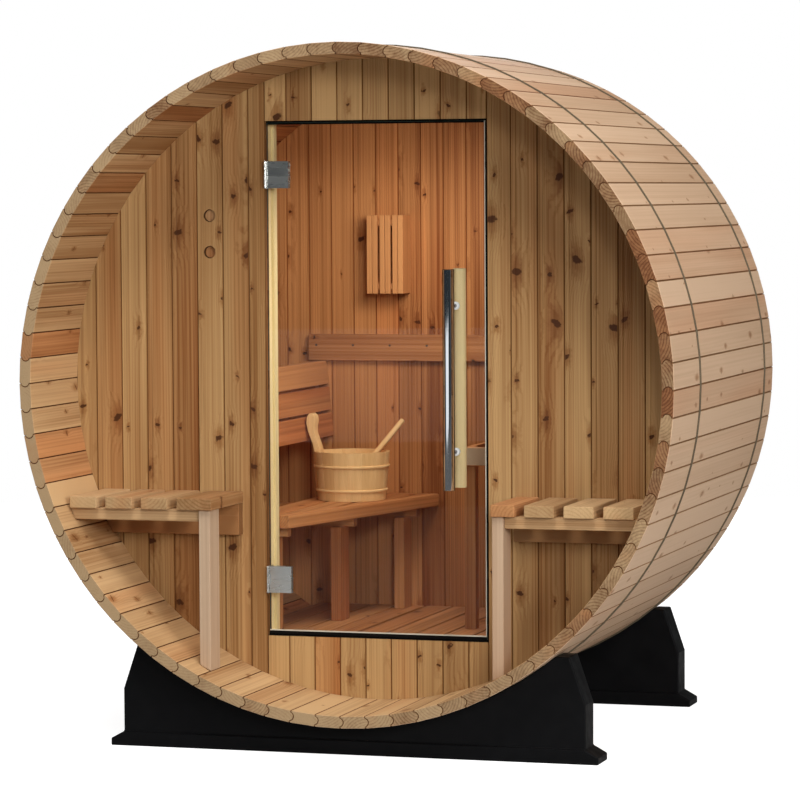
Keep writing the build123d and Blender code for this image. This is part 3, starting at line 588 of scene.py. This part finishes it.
def lathe(profile, segments):
    """A closed ring of (radius, height) points turned about +Z."""
    part = bmesh.new()
    rings = []
    for k in range(segments):
        a = 2 * math.pi * k / segments
        rings.append([part.verts.new((r * math.cos(a), r * math.sin(a), z))
                      for r, z in profile])
    for one, two in zip(rings, rings[1:] + rings[:1]):
        strip(part, one, two)
    return part


def turned_bar(x, y, z0, z1, radius, soft):
    """An upright round bar with softened ends."""
    bar = lathe([(0.5 * MM, z0), (radius - soft, z0), (radius, z0 + soft),
                 (radius, z1 - soft), (radius - soft, z1), (0.5 * MM, z1)], 64)
    return moved(bar, Matrix.Translation((x, y, 0)))


# ---------------- barrel
def stave_outline():
    """Cross-section of a stave as (across, out) points, each with the surface that starts
    there: bead on the left, cove on the right, small arrises at the corners."""
    lean = STEP / 2
    middle = INNER_FLAT + STAVE_THICKNESS / 2
    span = math.acos((BEAD_INSET - JOINT / 2) / BEAD_RADIUS)
    angles = [span * (2 * k / BEAD_SEGMENTS - 1) for k in range(BEAD_SEGMENTS + 1)]
    bead = [(BEAD_RADIUS * math.cos(a) - BEAD_INSET, BEAD_RADIUS * math.sin(a))
            for a in angles]
    cove = [(-n - JOINT, t) for n, t in bead]

    def edge(side, points):
        return [(side * (middle * math.tan(lean) + n * math.cos(lean) + t * math.sin(lean)),
                 middle + t * math.cos(lean) - n * math.sin(lean)) for n, t in points]

    def corner(side, height, arris, inward):
        half = height * math.tan(lean) - JOINT / 2
        return (side * (half - arris), height), (side * half, height + inward * arris)

    in_l, in_l2 = corner(-1, INNER_FLAT, INNER_ARRIS, 1)
    out_l, out_l2 = corner(-1, OUTER_FLAT, OUTER_ARRIS, -1)
    out_r, out_r2 = corner(1, OUTER_FLAT, OUTER_ARRIS, -1)
    in_r, in_r2 = corner(1, INNER_FLAT, INNER_ARRIS, 1)
    points = [(p, SIDE) for p in [in_l, in_l2] + edge(-1, bead)]
    points += [(out_l2, ARRIS), (out_l, OUTSIDE), (out_r, ARRIS)]
    points += [(p, SIDE) for p in [out_r2] + edge(1, cove)[::-1] + [in_r2]]
    return points + [(in_r, INSIDE)]


def shrink(points, distance):
    """The outline moved inwards by a distance."""
    smaller = []
    for i, (u, v) in enumerate(points):
        before, after = Vector(points[i - 1]), Vector(points[(i + 1) % len(points)])
        one = (Vector((u, v)) - before).normalized()
        two = (after - Vector((u, v))).normalized()
        inwards = Vector((one.y + two.y, -one.x - two.x)).normalized()
        smaller.append((u + inwards.x * distance, v + inwards.y * distance))
    return smaller


def stave(turn, front, back):
    """One stave at its place in the barrel, with a croze for each end wall, and the direction
    that it faces."""
    points = stave_outline()
    outline = [p for p, _ in points]
    inset = shrink(outline, END_EASE)
    croze = INNER_FLAT + CROZE_DEPTH
    stations = [(front, inset, False), (front + END_EASE, outline, False)]
    for low, high in ((WALL_FRONT, WALL_BACK), (REAR_FRONT, REAR_BACK)):
        stations += [(low - JOINT, outline, False), (low - JOINT, outline, True),
                     (high + JOINT, outline, True), (high + JOINT, outline, False)]
    stations += [(back - END_EASE, outline, False), (back, inset, False)]
    part = bmesh.new()
    loops = []
    for y, shape, groove in stations:
        loop = []
        for u, v in shape:
            v = max(v, croze) if groove else v
            loop.append(part.verts.new((u * math.cos(turn) + v * math.sin(turn), y,
                                        AXIS_Z + v * math.cos(turn) - u * math.sin(turn))))
        loops.append(loop)
    for one, two in zip(loops, loops[1:]):
        for face, (_, surface) in zip(strip(part, one, two), points):
            face.material_index = surface
    for loop in (loops[0], loops[-1]):
        part.faces.new(loop).material_index = END
    bmesh.ops.remove_doubles(part, verts=part.verts, dist=WELD)
    bmesh.ops.recalc_face_normals(part, faces=part.faces)
    return part, Vector((math.sin(turn), 0, math.cos(turn)))


def barrel():
    """The staves, in one piece for each CAD panel of them; most are trimmed by a hair."""
    panels = sorted(n for n in nodes if n.startswith("barrel_staves_"))
    per_panel = STAVE_COUNT // len(panels)
    for number, node in enumerate(panels):
        piece = Piece(f"staves_{number + 1:02d}", "stave_inner", "stave_end", "stave_outer",
                      "joint_inner_dirt_and_shade", "joint_outer_dirt_and_shade")
        for k in range(per_panel):
            index = number * per_panel + k
            turn = (index + 0.5) * STEP
            trim = 0.0 if index % 5 == 0 else draw.uniform(0, 1.2 * MM)
            part, radial = stave(turn, FRONT_Y + trim, BACK_Y - trim)
            # Painted light and shade: each stave is darker towards the top and the left, lighter
            # towards the bottom and the right, and redder towards the top; its sawn ends are
            # darker to the right and lighter to the left.
            lift, flush = ODD_STAVES.get(
                index, (-0.06 - 0.16 * math.cos(turn) + 0.18 * math.sin(turn),
                        0.25 * math.cos(turn) - 0.1))
            piece.board(part, (0, 1, 0), radial, tone=0.18, red=0.4, lift=lift, flush=flush,
                        end_lift=0.06 - 0.45 * math.sin(turn))
        piece.make(replaces=(node,))


# ---------------- end walls
def circle_height(x):
    """Height above the axis at which a wall board meets the bottom of the croze."""
    return math.sqrt(max(0.0, WALL_REACH ** 2 - x ** 2))


def wall_board(x0, x1, y0, y1, low=None, high=None):
    """One upright board with V joints and a bead line beside one of them; it runs to the
    barrel where no height is given."""
    v, slit, deep, bead, notch = 1.9 * MM, 0.55 * MM, 9 * MM, 17 * MM, 1.1 * MM
    section = [(x0, deep), (x0 + slit, deep), (x0 + slit, v), (x0 + slit + v, 0)]
    if x1 - x0 > 3 * bead:
        section += [(x0 + bead - notch, 0), (x0 + bead, notch), (x0 + bead + notch, 0)]
    section += [(x1 - slit - v, 0), (x1 - slit, v), (x1 - slit, deep), (x1, deep)]
    shaded_grooves = [i for i, (one, two) in enumerate(zip(section, section[1:]))
               if max(one[1], two[1]) > notch]
    part = bmesh.new()
    rows = []
    for x, depth in section:
        top = circle_height(x) if high is None else high
        bottom = -circle_height(x) if low is None else low
        rows.append([part.verts.new((x, y, AXIS_Z + z)) for y, z in (
            (y0 + depth, bottom), (y0 + depth, top), (y1, top), (y1, bottom))])
    for k, (one, two) in enumerate(zip(rows, rows[1:])):
        for i in range(4):
            j = (i + 1) % 4
            corners = (one[i], one[j], two[j], two[i])
            if (corners[0].co - corners[3].co).length > WELD:
                # The faces in the V joints and the slit take the darker groove wood: painted
                # shade.
                part.faces.new(corners).material_index = int(i == 0 and k in shaded_grooves)
            elif (corners[1].co - corners[2].co).length > WELD:
                part.faces.new(corners[:3])
    part.faces.new(rows[0])
    part.faces.new(rows[-1])
    bmesh.ops.remove_doubles(part, verts=part.verts, dist=WELD)
    bmesh.ops.dissolve_degenerate(part, edges=part.edges, dist=WELD)
    return part


def wall(node, joints, low=None, high=None, lift=0.0, depths=(WALL_FRONT, WALL_BACK),
         woods=("wall", "wall_groove_shade", "vent_side_shade")):
    """A wall, or a part of one, as boards between the joints."""
    piece = Piece(node + "_boards", *woods)
    for x0, x1 in zip(joints, joints[1:]):
        part = wall_board(x0, x1, *depths, low, high)
        piece.board(part, (0, 0, 1), (0, 1, 0), tone=0.18, red=0.28, lift=lift, flush=-0.1)
    return piece.make(replaces=(node,))


def pitches(first, pitch, last):
    """Joints from one edge of a wall to the other at a board's pitch; the last board is cut,
    and is never a sliver."""
    sliver = 12 * MM
    count = int(abs(last - first) / pitch)
    sign = 1 if last > first else -1
    joints = [first + sign * pitch * k for k in range(count + 1)]
    if abs(joints[-1] - last) > sliver:
        joints.append(last)
    else:
        joints[-1] = last
    return sorted(joints)


def beside_vent(place, reach):
    """Whether a place on the left wall is this near to a vent's centre."""
    return any(math.hypot(place.x - VENT_X, place.z - AXIS_Z - height) < reach
               for height in VENT_HEIGHTS)


def cut(obj, cutter):
    """Take a closed shape out of a piece's mesh."""
    mesh = bpy.data.meshes.new("cutter")
    cutter.to_mesh(mesh)
    cutter.free()
    tool = new_object("cutter", mesh)
    modifier = obj.modifiers.new("vents", "BOOLEAN")
    modifier.object = tool
    modifier.solver = "EXACT"
    obj.modifiers.move(len(obj.modifiers) - 1, 0)
    bpy.context.view_layer.update()
    depsgraph = bpy.context.evaluated_depsgraph_get()
    obj.modifiers["weighted"].show_viewport = False
    depsgraph.update()
    done = bpy.data.meshes.new_from_object(obj.evaluated_get(depsgraph))
    obj.modifiers["weighted"].show_viewport = True
    obj.modifiers.remove(modifier)
    obj.data = done
    bpy.data.objects.remove(tool)
    return done


def cut_vents(obj):
    """Two round holes in the left wall, whose new corners take the grain of their board."""
    vent_shade_slot, rim = 2, VENT_RADIUS + 0.5 * MM
    beside, board_reach = VENT_RADIUS + 5 * MM, VENT_RADIUS + 10 * MM
    cutter = bmesh.new()
    for height in VENT_HEIGHTS:
        disc((VENT_X, WALL_FRONT, AXIS_Z + height), VENT_RADIUS, 34 * MM, 40, part=cutter)
    wall_mesh = cut(obj, cutter)
    # Painted shade: the sides of each hole take the dark vent wood.
    for face in wall_mesh.polygons:
        if beside_vent(face.center, rim):
            face.material_index = vent_shade_slot
    grain = wall_mesh.attributes["grain"].data
    tone = wall_mesh.attributes["tone"].data
    pattern = next(v for v in wall_mesh.vertices if not beside_vent(v.co, beside)
                   and abs(v.co.x - VENT_X) < board_reach)
    shift = grain[pattern.index].vector - Vector((pattern.co.z, pattern.co.x, pattern.co.y))
    for v in wall_mesh.vertices:
        if beside_vent(v.co, beside):
            grain[v.index].vector = shift + Vector((v.co.z, v.co.x, v.co.y))
            tone[v.index].vector = tone[pattern.index].vector


def vent_plugs():
    """A wooden plug set back in each vent."""
    for height in VENT_HEIGHTS:
        plug = Piece(f"vent_plug_{round(height / MM)}", "bench", "bench_end")
        part = disc((VENT_X, WALL_FRONT + 14 * MM, AXIS_Z + height), VENT_RADIUS - 1.2 * MM,
                    5 * MM, 40, 1.2 * MM)
        plug.board(part, (0, 0, 1), (0, 1, 0), tone=0.05, red=0.1, lift=-0.45, flush=0.6)
        plug.make()


def walls():
    """The front wall's four parts round the doorway, and the back wall."""
    edge = WALL_REACH - 2 * MM
    sill, head = DOOR_SILL - AXIS_Z, DOOR_TOP - AXIS_Z
    left = pitches(DOOR_LEFT - LEFT_FIRST, LEFT_PITCH, -edge)
    # Painted light and shade: the left part of the front wall is a little darker, the right part
    # darker still, and the part under the doorway lighter.
    cut_vents(wall("front_wall_left", left + [DOOR_LEFT], lift=-0.1))
    vent_plugs()
    right = pitches(DOOR_RIGHT + RIGHT_FIRST, RIGHT_PITCH, edge)
    wall("front_wall_right", [DOOR_RIGHT] + right, lift=-0.2)
    middle = [DOOR_LEFT] + pitches(MIDDLE_FIRST_X, MIDDLE_PITCH, DOOR_RIGHT)
    wall("front_wall_over_door", middle, low=head)
    wall("front_wall_under_door", middle, high=sill, lift=0.12)
    rear = [x - REAR_SHIFT for x in pitches(-edge, REAR_PITCH, edge)[1:-1]]
    wall("back_wall", [-edge] + rear + [edge], depths=(REAR_FRONT, REAR_BACK),
         woods=("cabin_wall", "cabin_groove_shade"))


# ---------------- bucket
def bucket_stave(carved):
    """One of the bucket's staves, beside its centre; the carved one is flat and has the grip."""
    outline = [(0.0, 0.0), (BUCKET_SLOPE * BUCKET_HEIGHT, BUCKET_HEIGHT)]
    if carved:
        outline += [(out * MM, up * MM) for out, up in GRIP]
    else:
        outline.append((BUCKET_SLOPE * BUCKET_HEIGHT - BUCKET_WALL, BUCKET_HEIGHT))
    outline.append((-BUCKET_WALL, 0.0))
    part = bmesh.new()
    rows = []
    for share in (-1, -0.5, 0, 0.5, 1):
        a = share * (math.pi / BUCKET_STAVES - BUCKET_GAP)
        rows.append([part.verts.new(
            (BUCKET_FOOT + r, share * GRIP_HALF_WIDTH, z) if carved else
            ((BUCKET_FOOT + r) * math.cos(a), (BUCKET_FOOT + r) * math.sin(a), z))
            for r, z in outline])
    part.faces.new(rows[0])
    part.faces.new(rows[-1])
    for one, two in zip(rows, rows[1:]):
        strip(part, one, two)
    bmesh.ops.recalc_face_normals(part, faces=part.faces)
    return ease_edges(part, 4 * MM if carved else 0.8 * MM, angle=40)


def bucket():
    """The staved bucket with its bottom and its two wooden bands."""
    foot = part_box("bucket")[0].z
    ring_low, ring_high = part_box("bucket_hoops")
    centre = Vector(((ring_low.x + ring_high.x) / 2, (ring_low.y + ring_high.y) / 2, foot))
    place = Matrix.Translation(centre)
    piece = Piece("bucket_staves", "bucket", "bucket_end")
    for k in range(BUCKET_STAVES):
        turn = 2 * math.pi * k / BUCKET_STAVES
        part = bucket_stave(carved=k == BUCKET_STAVES // 2)
        outward = Vector((math.cos(turn), math.sin(turn), 0))
        piece.board(moved(part, place @ Matrix.Rotation(turn, 4, "Z")), (0, 0, 1), outward,
                    tone=0.1, end_slot=1)
    inside = BUCKET_FOOT - BUCKET_WALL
    bottom = lathe([(MM, 2 * MM), (inside, 2 * MM), (inside + MM, 14 * MM), (MM, 14 * MM)], 32)
    piece.board(moved(bottom, place), (1, 0, 0), (0, 0, 1), tone=0.05)
    piece.make(replaces=("bucket",))

    bands = Piece("bucket_bands", "bucket")
    for z in BAND_HEIGHTS:
        outer = BUCKET_FOOT + BUCKET_SLOPE * z
        section = [(outer + out * MM, up * MM) for out, up in BAND]
        band = moved(lathe(section, 64), Matrix.Translation(centre + Vector((0, 0, z))))
        bands.board(band, (1, 0, 0), (0, 0, 1), tone=0.0, lift=0.18)
    bands.make(replaces=("bucket_hoops",))


# ---------------- door
def door_pane():
    """The glass, with its edges darker than its faces."""
    part = ease_edges(block(*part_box("door_glass")), 1.0 * MM, segments=1)
    part.normal_update()
    for face in part.faces:
        face.material_index = 0 if abs(face.normal.y) > 0.9 else 1
    pane = Piece("door_pane", "clear_glass", "glass_edge")
    pane.merge(part)
    pane.make("door", ("door_glass",), smooth=20)


def door_sweep_and_highlight():
    """A black strip along the glass's foot, with a pale one above it and up the latch side; the
    pale strips are a painted highlight on the glass's edges.
    """
    low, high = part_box("door_glass")
    left, right, latch = low.x + 0.5 * MM, high.x - 0.3 * MM, high.x - 3.3 * MM
    foot, black_top, highlight_top = low.z + 0.3 * MM, low.z + 10.5 * MM, low.z + 15 * MM
    sweep = Piece("door_sweep_and_highlight", "rubber", "glass_edge_highlight")
    for x0, z0, x1, z1, shade in ((left, foot, right, black_top, 0),
                                  (left, black_top, latch, highlight_top, 1),
                                  (latch, black_top, right, high.z - 0.3 * MM, 1)):
        part = ease_edges(block((x0, low.y - 1 * MM, z0), (x1, low.y - 0.05 * MM, z1)),
                          0.3 * MM)
        for face in part.faces:
            face.material_index = shade
        sweep.merge(part)
    sweep.make("door")


def door_handle():
    """The chrome tube outside the glass, its two bolts, and the washers on both sides."""
    glass_low, glass_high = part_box("door_glass")
    bar_low, bar_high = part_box("door_handle_bar")
    x, middle = (bar_low.x + bar_high.x) / 2, (bar_low.z + bar_high.z) / 2
    heights = (middle - BOLT_REACH, middle + BOLT_REACH)
    thick = 3 * MM
    washers = Piece("door_handle_washers", "washer")
    for z in heights:
        for y in (glass_low.y - thick / 2, glass_high.y + thick / 2):
            washers.merge(disc((x, y, z), 13 * MM, thick, ease=0.8 * MM))
    washers.make("door")

    low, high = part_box("door_handle_tube")
    radius = (high.x - low.x) / 2
    start, end = low.y + 2 * radius - 2 * MM, high.y
    handle = Piece("door_handle_rail", "chrome")
    handle.merge(turned_bar(x, low.y + radius, low.z, high.z, radius, 1.5 * MM))
    for z in heights:
        handle.merge(disc((x, (start + end) / 2, z), 7 * MM, end - start, ease=0.5 * MM))
    handle.make("door", ("door_handle_tube",))


def doorway():
    """A thin black sheet in the gap over, under and on the latch side of the pane: painted shade
    in the gap.
    """
    y0, y1, thin = WALL_FRONT + 1 * MM, WALL_BACK - 0.2 * MM, 0.9 * MM
    gap_shade = Piece("doorway_shade_lining", "rubber")
    for low, high in (((DOOR_LEFT, y0, DOOR_TOP - thin), (DOOR_RIGHT, y1, DOOR_TOP)),
                      ((DOOR_LEFT, y0, DOOR_SILL), (DOOR_RIGHT, y1, DOOR_SILL + thin)),
                      ((DOOR_RIGHT - thin, y0, DOOR_SILL + thin),
                       (DOOR_RIGHT, y1, DOOR_TOP - thin))):
        gap_shade.merge(ease_edges(block(low, high), 0.2 * MM, segments=1))
    gap_shade.make()


def jamb_strips():
    """A planed lath up the inner side of each jamb, at the back of the frame."""
    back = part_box("door_frame")[1].y
    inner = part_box("door_seal")
    lap, reach, depth = 1 * MM, 9.5 * MM, 30 * MM
    piece = Piece("jamb_strips", "jamb", "pale")
    for side, x in ((1, inner[0].x), (-1, inner[1].x)):
        x0, x1 = sorted((x - side * lap, x + side * reach))
        part = block((x0, back - depth, inner[0].z + 1 * MM),
                     (x1, back - 0.5 * MM, inner[1].z - 1 * MM))
        piece.board(ease_edges(part, 1.2 * MM), (0, 0, 1), (0, 1, 0), end_slot=1)
    piece.make()


def wooden_bar():
    """The round wooden handle inside the door."""
    low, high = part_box("door_handle_bar")
    radius = (high.x - low.x) / 2
    piece = Piece("door_handle_bar_boards", "pale", "pale")
    piece.board(turned_bar(low.x + radius, low.y + radius, low.z, high.z, radius, 2 * MM),
                (0, 0, 1), (0, 1, 0), tone=0.14, end_slot=1)
    piece.make("door", ("door_handle_bar",))


def heater_guard():
    """The guard in the cabin's rear corner, as front rail, corner post and side rail."""
    low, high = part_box("heater_guard")
    rail, post, side_height = 19 * MM, 38 * MM, 60 * MM
    behind, side_foot = low.y + rail, high.z - side_height
    piece = Piece("heater_guard_boards", "cabin_wood", "leg")
    front = solids("heater_guard")[0]
    parted = bmesh.ops.bisect_plane(
        front, geom=front.verts[:] + front.edges[:] + front.faces[:],
        plane_co=(0, behind - JOINT / 2, 0), plane_no=(0, 1, 0), clear_outer=True)
    bmesh.ops.edgeloop_fill(
        front, edges=[e for e in parted["geom_cut"] if isinstance(e, bmesh.types.BMEdge)])
    corner = block((low.x, behind, low.z), (low.x + post, behind + post, high.z))
    side = block((low.x, behind + post, side_foot), (low.x + rail, high.y, high.z))
    for face in front.faces:
        face.material_index = 1
    # Painted light and shade: the front rail is in the paler leg wood and lifted, the corner
    # post darkened.
    for part, along, through, lift in ((front, (1, 0, 0), (0, 1, 0), 0.4),
                                       (corner, (0, 0, 1), (0, 1, 0), -0.4),
                                       (side, (0, 1, 0), (1, 0, 0), -0.1)):
        piece.board(ease_edges(part, 2 * MM), along, through, tone=0.05, red=0.1, lift=lift)
    piece.make(replaces=("heater_guard",))


def polish(node, material, ease=0.0):
    """Give a kept CAD node its finish, and round its edges with modifiers."""
    obj = nodes[node]
    obj.material_slots[0].material = MATERIALS[material]
    if ease:
        weld = obj.modifiers.new("weld", "WELD")
        weld.merge_threshold = WELD
        planar = obj.modifiers.new("planar", "DECIMATE")
        planar.decimate_type = "DISSOLVE"
        planar.angle_limit = FLAT
        bevel = obj.modifiers.new("bevel", "BEVEL")
        bevel.width = ease
        bevel.segments = 3
        bevel.limit_method = "ANGLE"
        bevel.angle_limit = math.radians(35)
        bevel.harden_normals = True


def screws():
    """Dark screw heads along the rail on the back wall."""
    low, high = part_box("back_wall_rail")
    height = (low.z + high.z) / 2 + 8 * MM
    margin, pitch = 30 * MM, 135 * MM
    count = int((high.x - low.x - 2 * margin) / pitch)
    piece = Piece("rail_screws", "screw")
    for k in range(count + 1):
        piece.merge(disc((low.x + margin + k * pitch, low.y - 0.2 * MM, height), 4 * MM,
                         1.2 * MM, 20, 0.4 * MM))
    piece.make()


barrel()
walls()
bucket()
door_pane()
door_sweep_and_highlight()
door_handle()
doorway()
jamb_strips()
screws()
dress("door_frame", "jamb", ease=1.5 * MM)
wooden_bar()
for side in ("left", "right"):
    dress(f"porch_bench_{side}_slats", "bench", ease=4 * MM, end="bench_end",
          tone=0.3, red=0.55)
    # Painted shade: the rear rail of each porch bench, under the slats, is darkened by its lift.
    dress(f"porch_bench_{side}_rails", "bench", ease=3 * MM, end="bench_end",
          lift=-0.15, shaded_rear_lift=-0.75)
    dress(f"porch_bench_{side}_leg", "leg", ease=4 * MM, end="bench_end")
for node in ("cabin_bench_slats", "cabin_bench_bearers", "cabin_bench_legs",
             "backrest_boards", "backrest_posts", "back_wall_rail"):
    dress(node, "cabin_wood", ease=5 * MM if "slats" in node else 3 * MM,
          end="cabin_end", lift=-0.35 if "rail" in node else 0.0)
heater_guard()
dress("lamp_shade", "cabin_wood", ease=1.5 * MM, lift=0.4)
dress("floor_boards", "floor", ease=2.5 * MM, end="cabin_end")
dress("floor_joists", "cabin_wood", ease=2 * MM, end="cabin_end")
dress("ladle", "bucket", ease=1 * MM)
polish("door_seal", "rubber")
dress("door_hinge_clamps", "satin", ease=0.9 * MM, body="door")
dress("door_hinge_leaves", "satin", ease=0.5 * MM)
polish("hoops", "hoop")
polish("cradle_front", "cradle", 5 * MM)
polish("cradle_rear", "cradle", 5 * MM)


# ---------------- studio
def seen_by_camera(s):
    """One where the camera looks, directly or through the glass, and nought elsewhere."""
    path = s.add("LightPath")
    return s.math("MAXIMUM", path.outputs["Is Camera Ray"],
                  path.outputs["Is Transmission Ray"])


def lamp(name, place, aim, size, power, colour=(1, 1, 1)):
    """A soft square light."""
    data = bpy.data.lights.new(name, "AREA")
    data.size, data.energy, data.color = size, power, colour
    obj = new_object(name, data)
    obj.location = place
    obj.rotation_mode = "QUATERNION"
    obj.rotation_quaternion = (Vector(aim) - Vector(place)).to_track_quat("-Z", "Y")


def stage_mesh(name, corners, material):
    """A flat piece of the studio."""
    mesh = bpy.data.meshes.new(name)
    mesh.from_pydata(corners, [], [tuple(range(len(corners)))])
    mesh.materials.append(material)
    obj = new_object(name, mesh)
    return obj


def card(name, start, end, heights, colour, strength):
    """An upright unlit panel between two places, which shows only in reflections."""
    s = Shader(name)
    cloth = s.noise(s.add("TexCoord").outputs["Object"], scale=1.5).outputs[0]
    level = s.spread(cloth, 0.3, 0.7, 0.7 * strength, strength)
    material = s.finish("Emission", {"Color": colour, "Strength": level})
    low, high = heights
    panel = stage_mesh(name, [(*start, low), (*end, low), (*end, high), (*start, high)],
                       material)
    for kind in ("camera", "diffuse", "transmission", "shadow"):
        setattr(panel, "visible_" + kind, False)


def floor():
    """A round pale floor, which the camera sees as nearly white but for the shadow."""
    radius, sides = 9, 96
    s = Shader("floor_paint")
    speck = s.noise(s.add("TexCoord").outputs["Object"], scale=40.0).outputs[0]
    tint = s.blend(speck, (0.50, 0.50, 0.50, 1), (0.54, 0.54, 0.54, 1))
    diffuse = s.add("BsdfDiffuse", {"Color": tint})
    glow = s.add("Emission", {"Color": (1, 1, 1, 1), "Strength": 0.9})
    shown = s.add("MixShader", {0: seen_by_camera(s), 2: glow.outputs[0]})
    material = s.finish("AddShader", {0: diffuse.outputs[0], 1: shown.outputs[0]})
    turns = [2 * math.pi * k / sides for k in range(sides)]
    stage_mesh("floor", [(radius * math.cos(a), radius * math.sin(a), 0) for a in turns],
               material)


def world():
    """A faint even light on the object, white to the camera."""
    s = Shader("studio", bpy.data.worlds, "OutputWorld")
    level = s.add("MapRange", {"Value": seen_by_camera(s), "To Min": 0.1, "To Max": 1.0})
    bpy.context.scene.world = s.finish("Background", {"Color": (1, 1, 1, 1),
                                                      "Strength": level.outputs[0]})


def studio():
    """Floor, panels to reflect in the glass and the chrome, surroundings and lamps."""
    floor()
    dim = (0.75, 0.9, 1.0, 1)
    card("dark_card_left", (-12, 2), (-7, -13), (0.2, 6), dim, 0.035)
    card("dark_card_front", (-7, -13), (14, -10), (0.2, 6), dim, 0.035)
    card("bright_card", (-5.5, -7.0), (3.0, -10.2), (0.40, 1.02), (0.95, 0.98, 1, 1), 1.1)
    world()
    middle = (0, 0, AXIS_Z)
    lamp("front", (4.0, -9.5, 3.4), middle, 1.4, 220)
    lamp("right", (8.0, -4.5, 4.0), middle, 4.0, 190)
    lamp("above", (1.5, -5.5, 8.5), middle, 3.0, 460)
    lamp("shoulder", (7.0, -7.0, 3.0), middle, 2.0, 290)
    lamp("overhead", (0.0, -2.0, 9.0), middle, 3.0, 170)
    lamp("rear", (-3.0, 9.0, 5.0), middle, 3.0, 170)
    lamp("cabin", (0.15, 0.0, AXIS_Z + 0.6), (-0.25, 0.5, AXIS_Z - 0.3), 0.4, 7,
         (1.0, 0.93, 0.84))


def camera():
    """Camera at the viewing angle: right of straight on, just above the barrel's axis."""
    yaw, pitch, roll = 0.298, -0.0578, -0.0055
    aside, before, above_axis = 3.4705, 10.6412, 0.606
    forward = Vector((-math.sin(yaw) * math.cos(pitch), math.cos(yaw) * math.cos(pitch),
                      math.sin(pitch)))
    right = Vector((math.cos(yaw), math.sin(yaw), 0))
    up = right.cross(forward)
    side = right * math.cos(roll) + up * math.sin(roll)
    top = up * math.cos(roll) - right * math.sin(roll)
    data = bpy.data.cameras.new("camera")
    data.sensor_width = 36
    data.lens = 162.66
    data.clip_start, data.clip_end = 0.1, 200
    obj = new_object("camera", data)
    place = Matrix.Translation((aside, FRONT_Y - before, AXIS_Z + above_axis))
    obj.matrix_world = place @ Matrix((side, top, -forward)).transposed().to_4x4()
    bpy.context.scene.camera = obj


studio()
camera()
bpy.context.scene.view_settings.view_transform = "Standard"
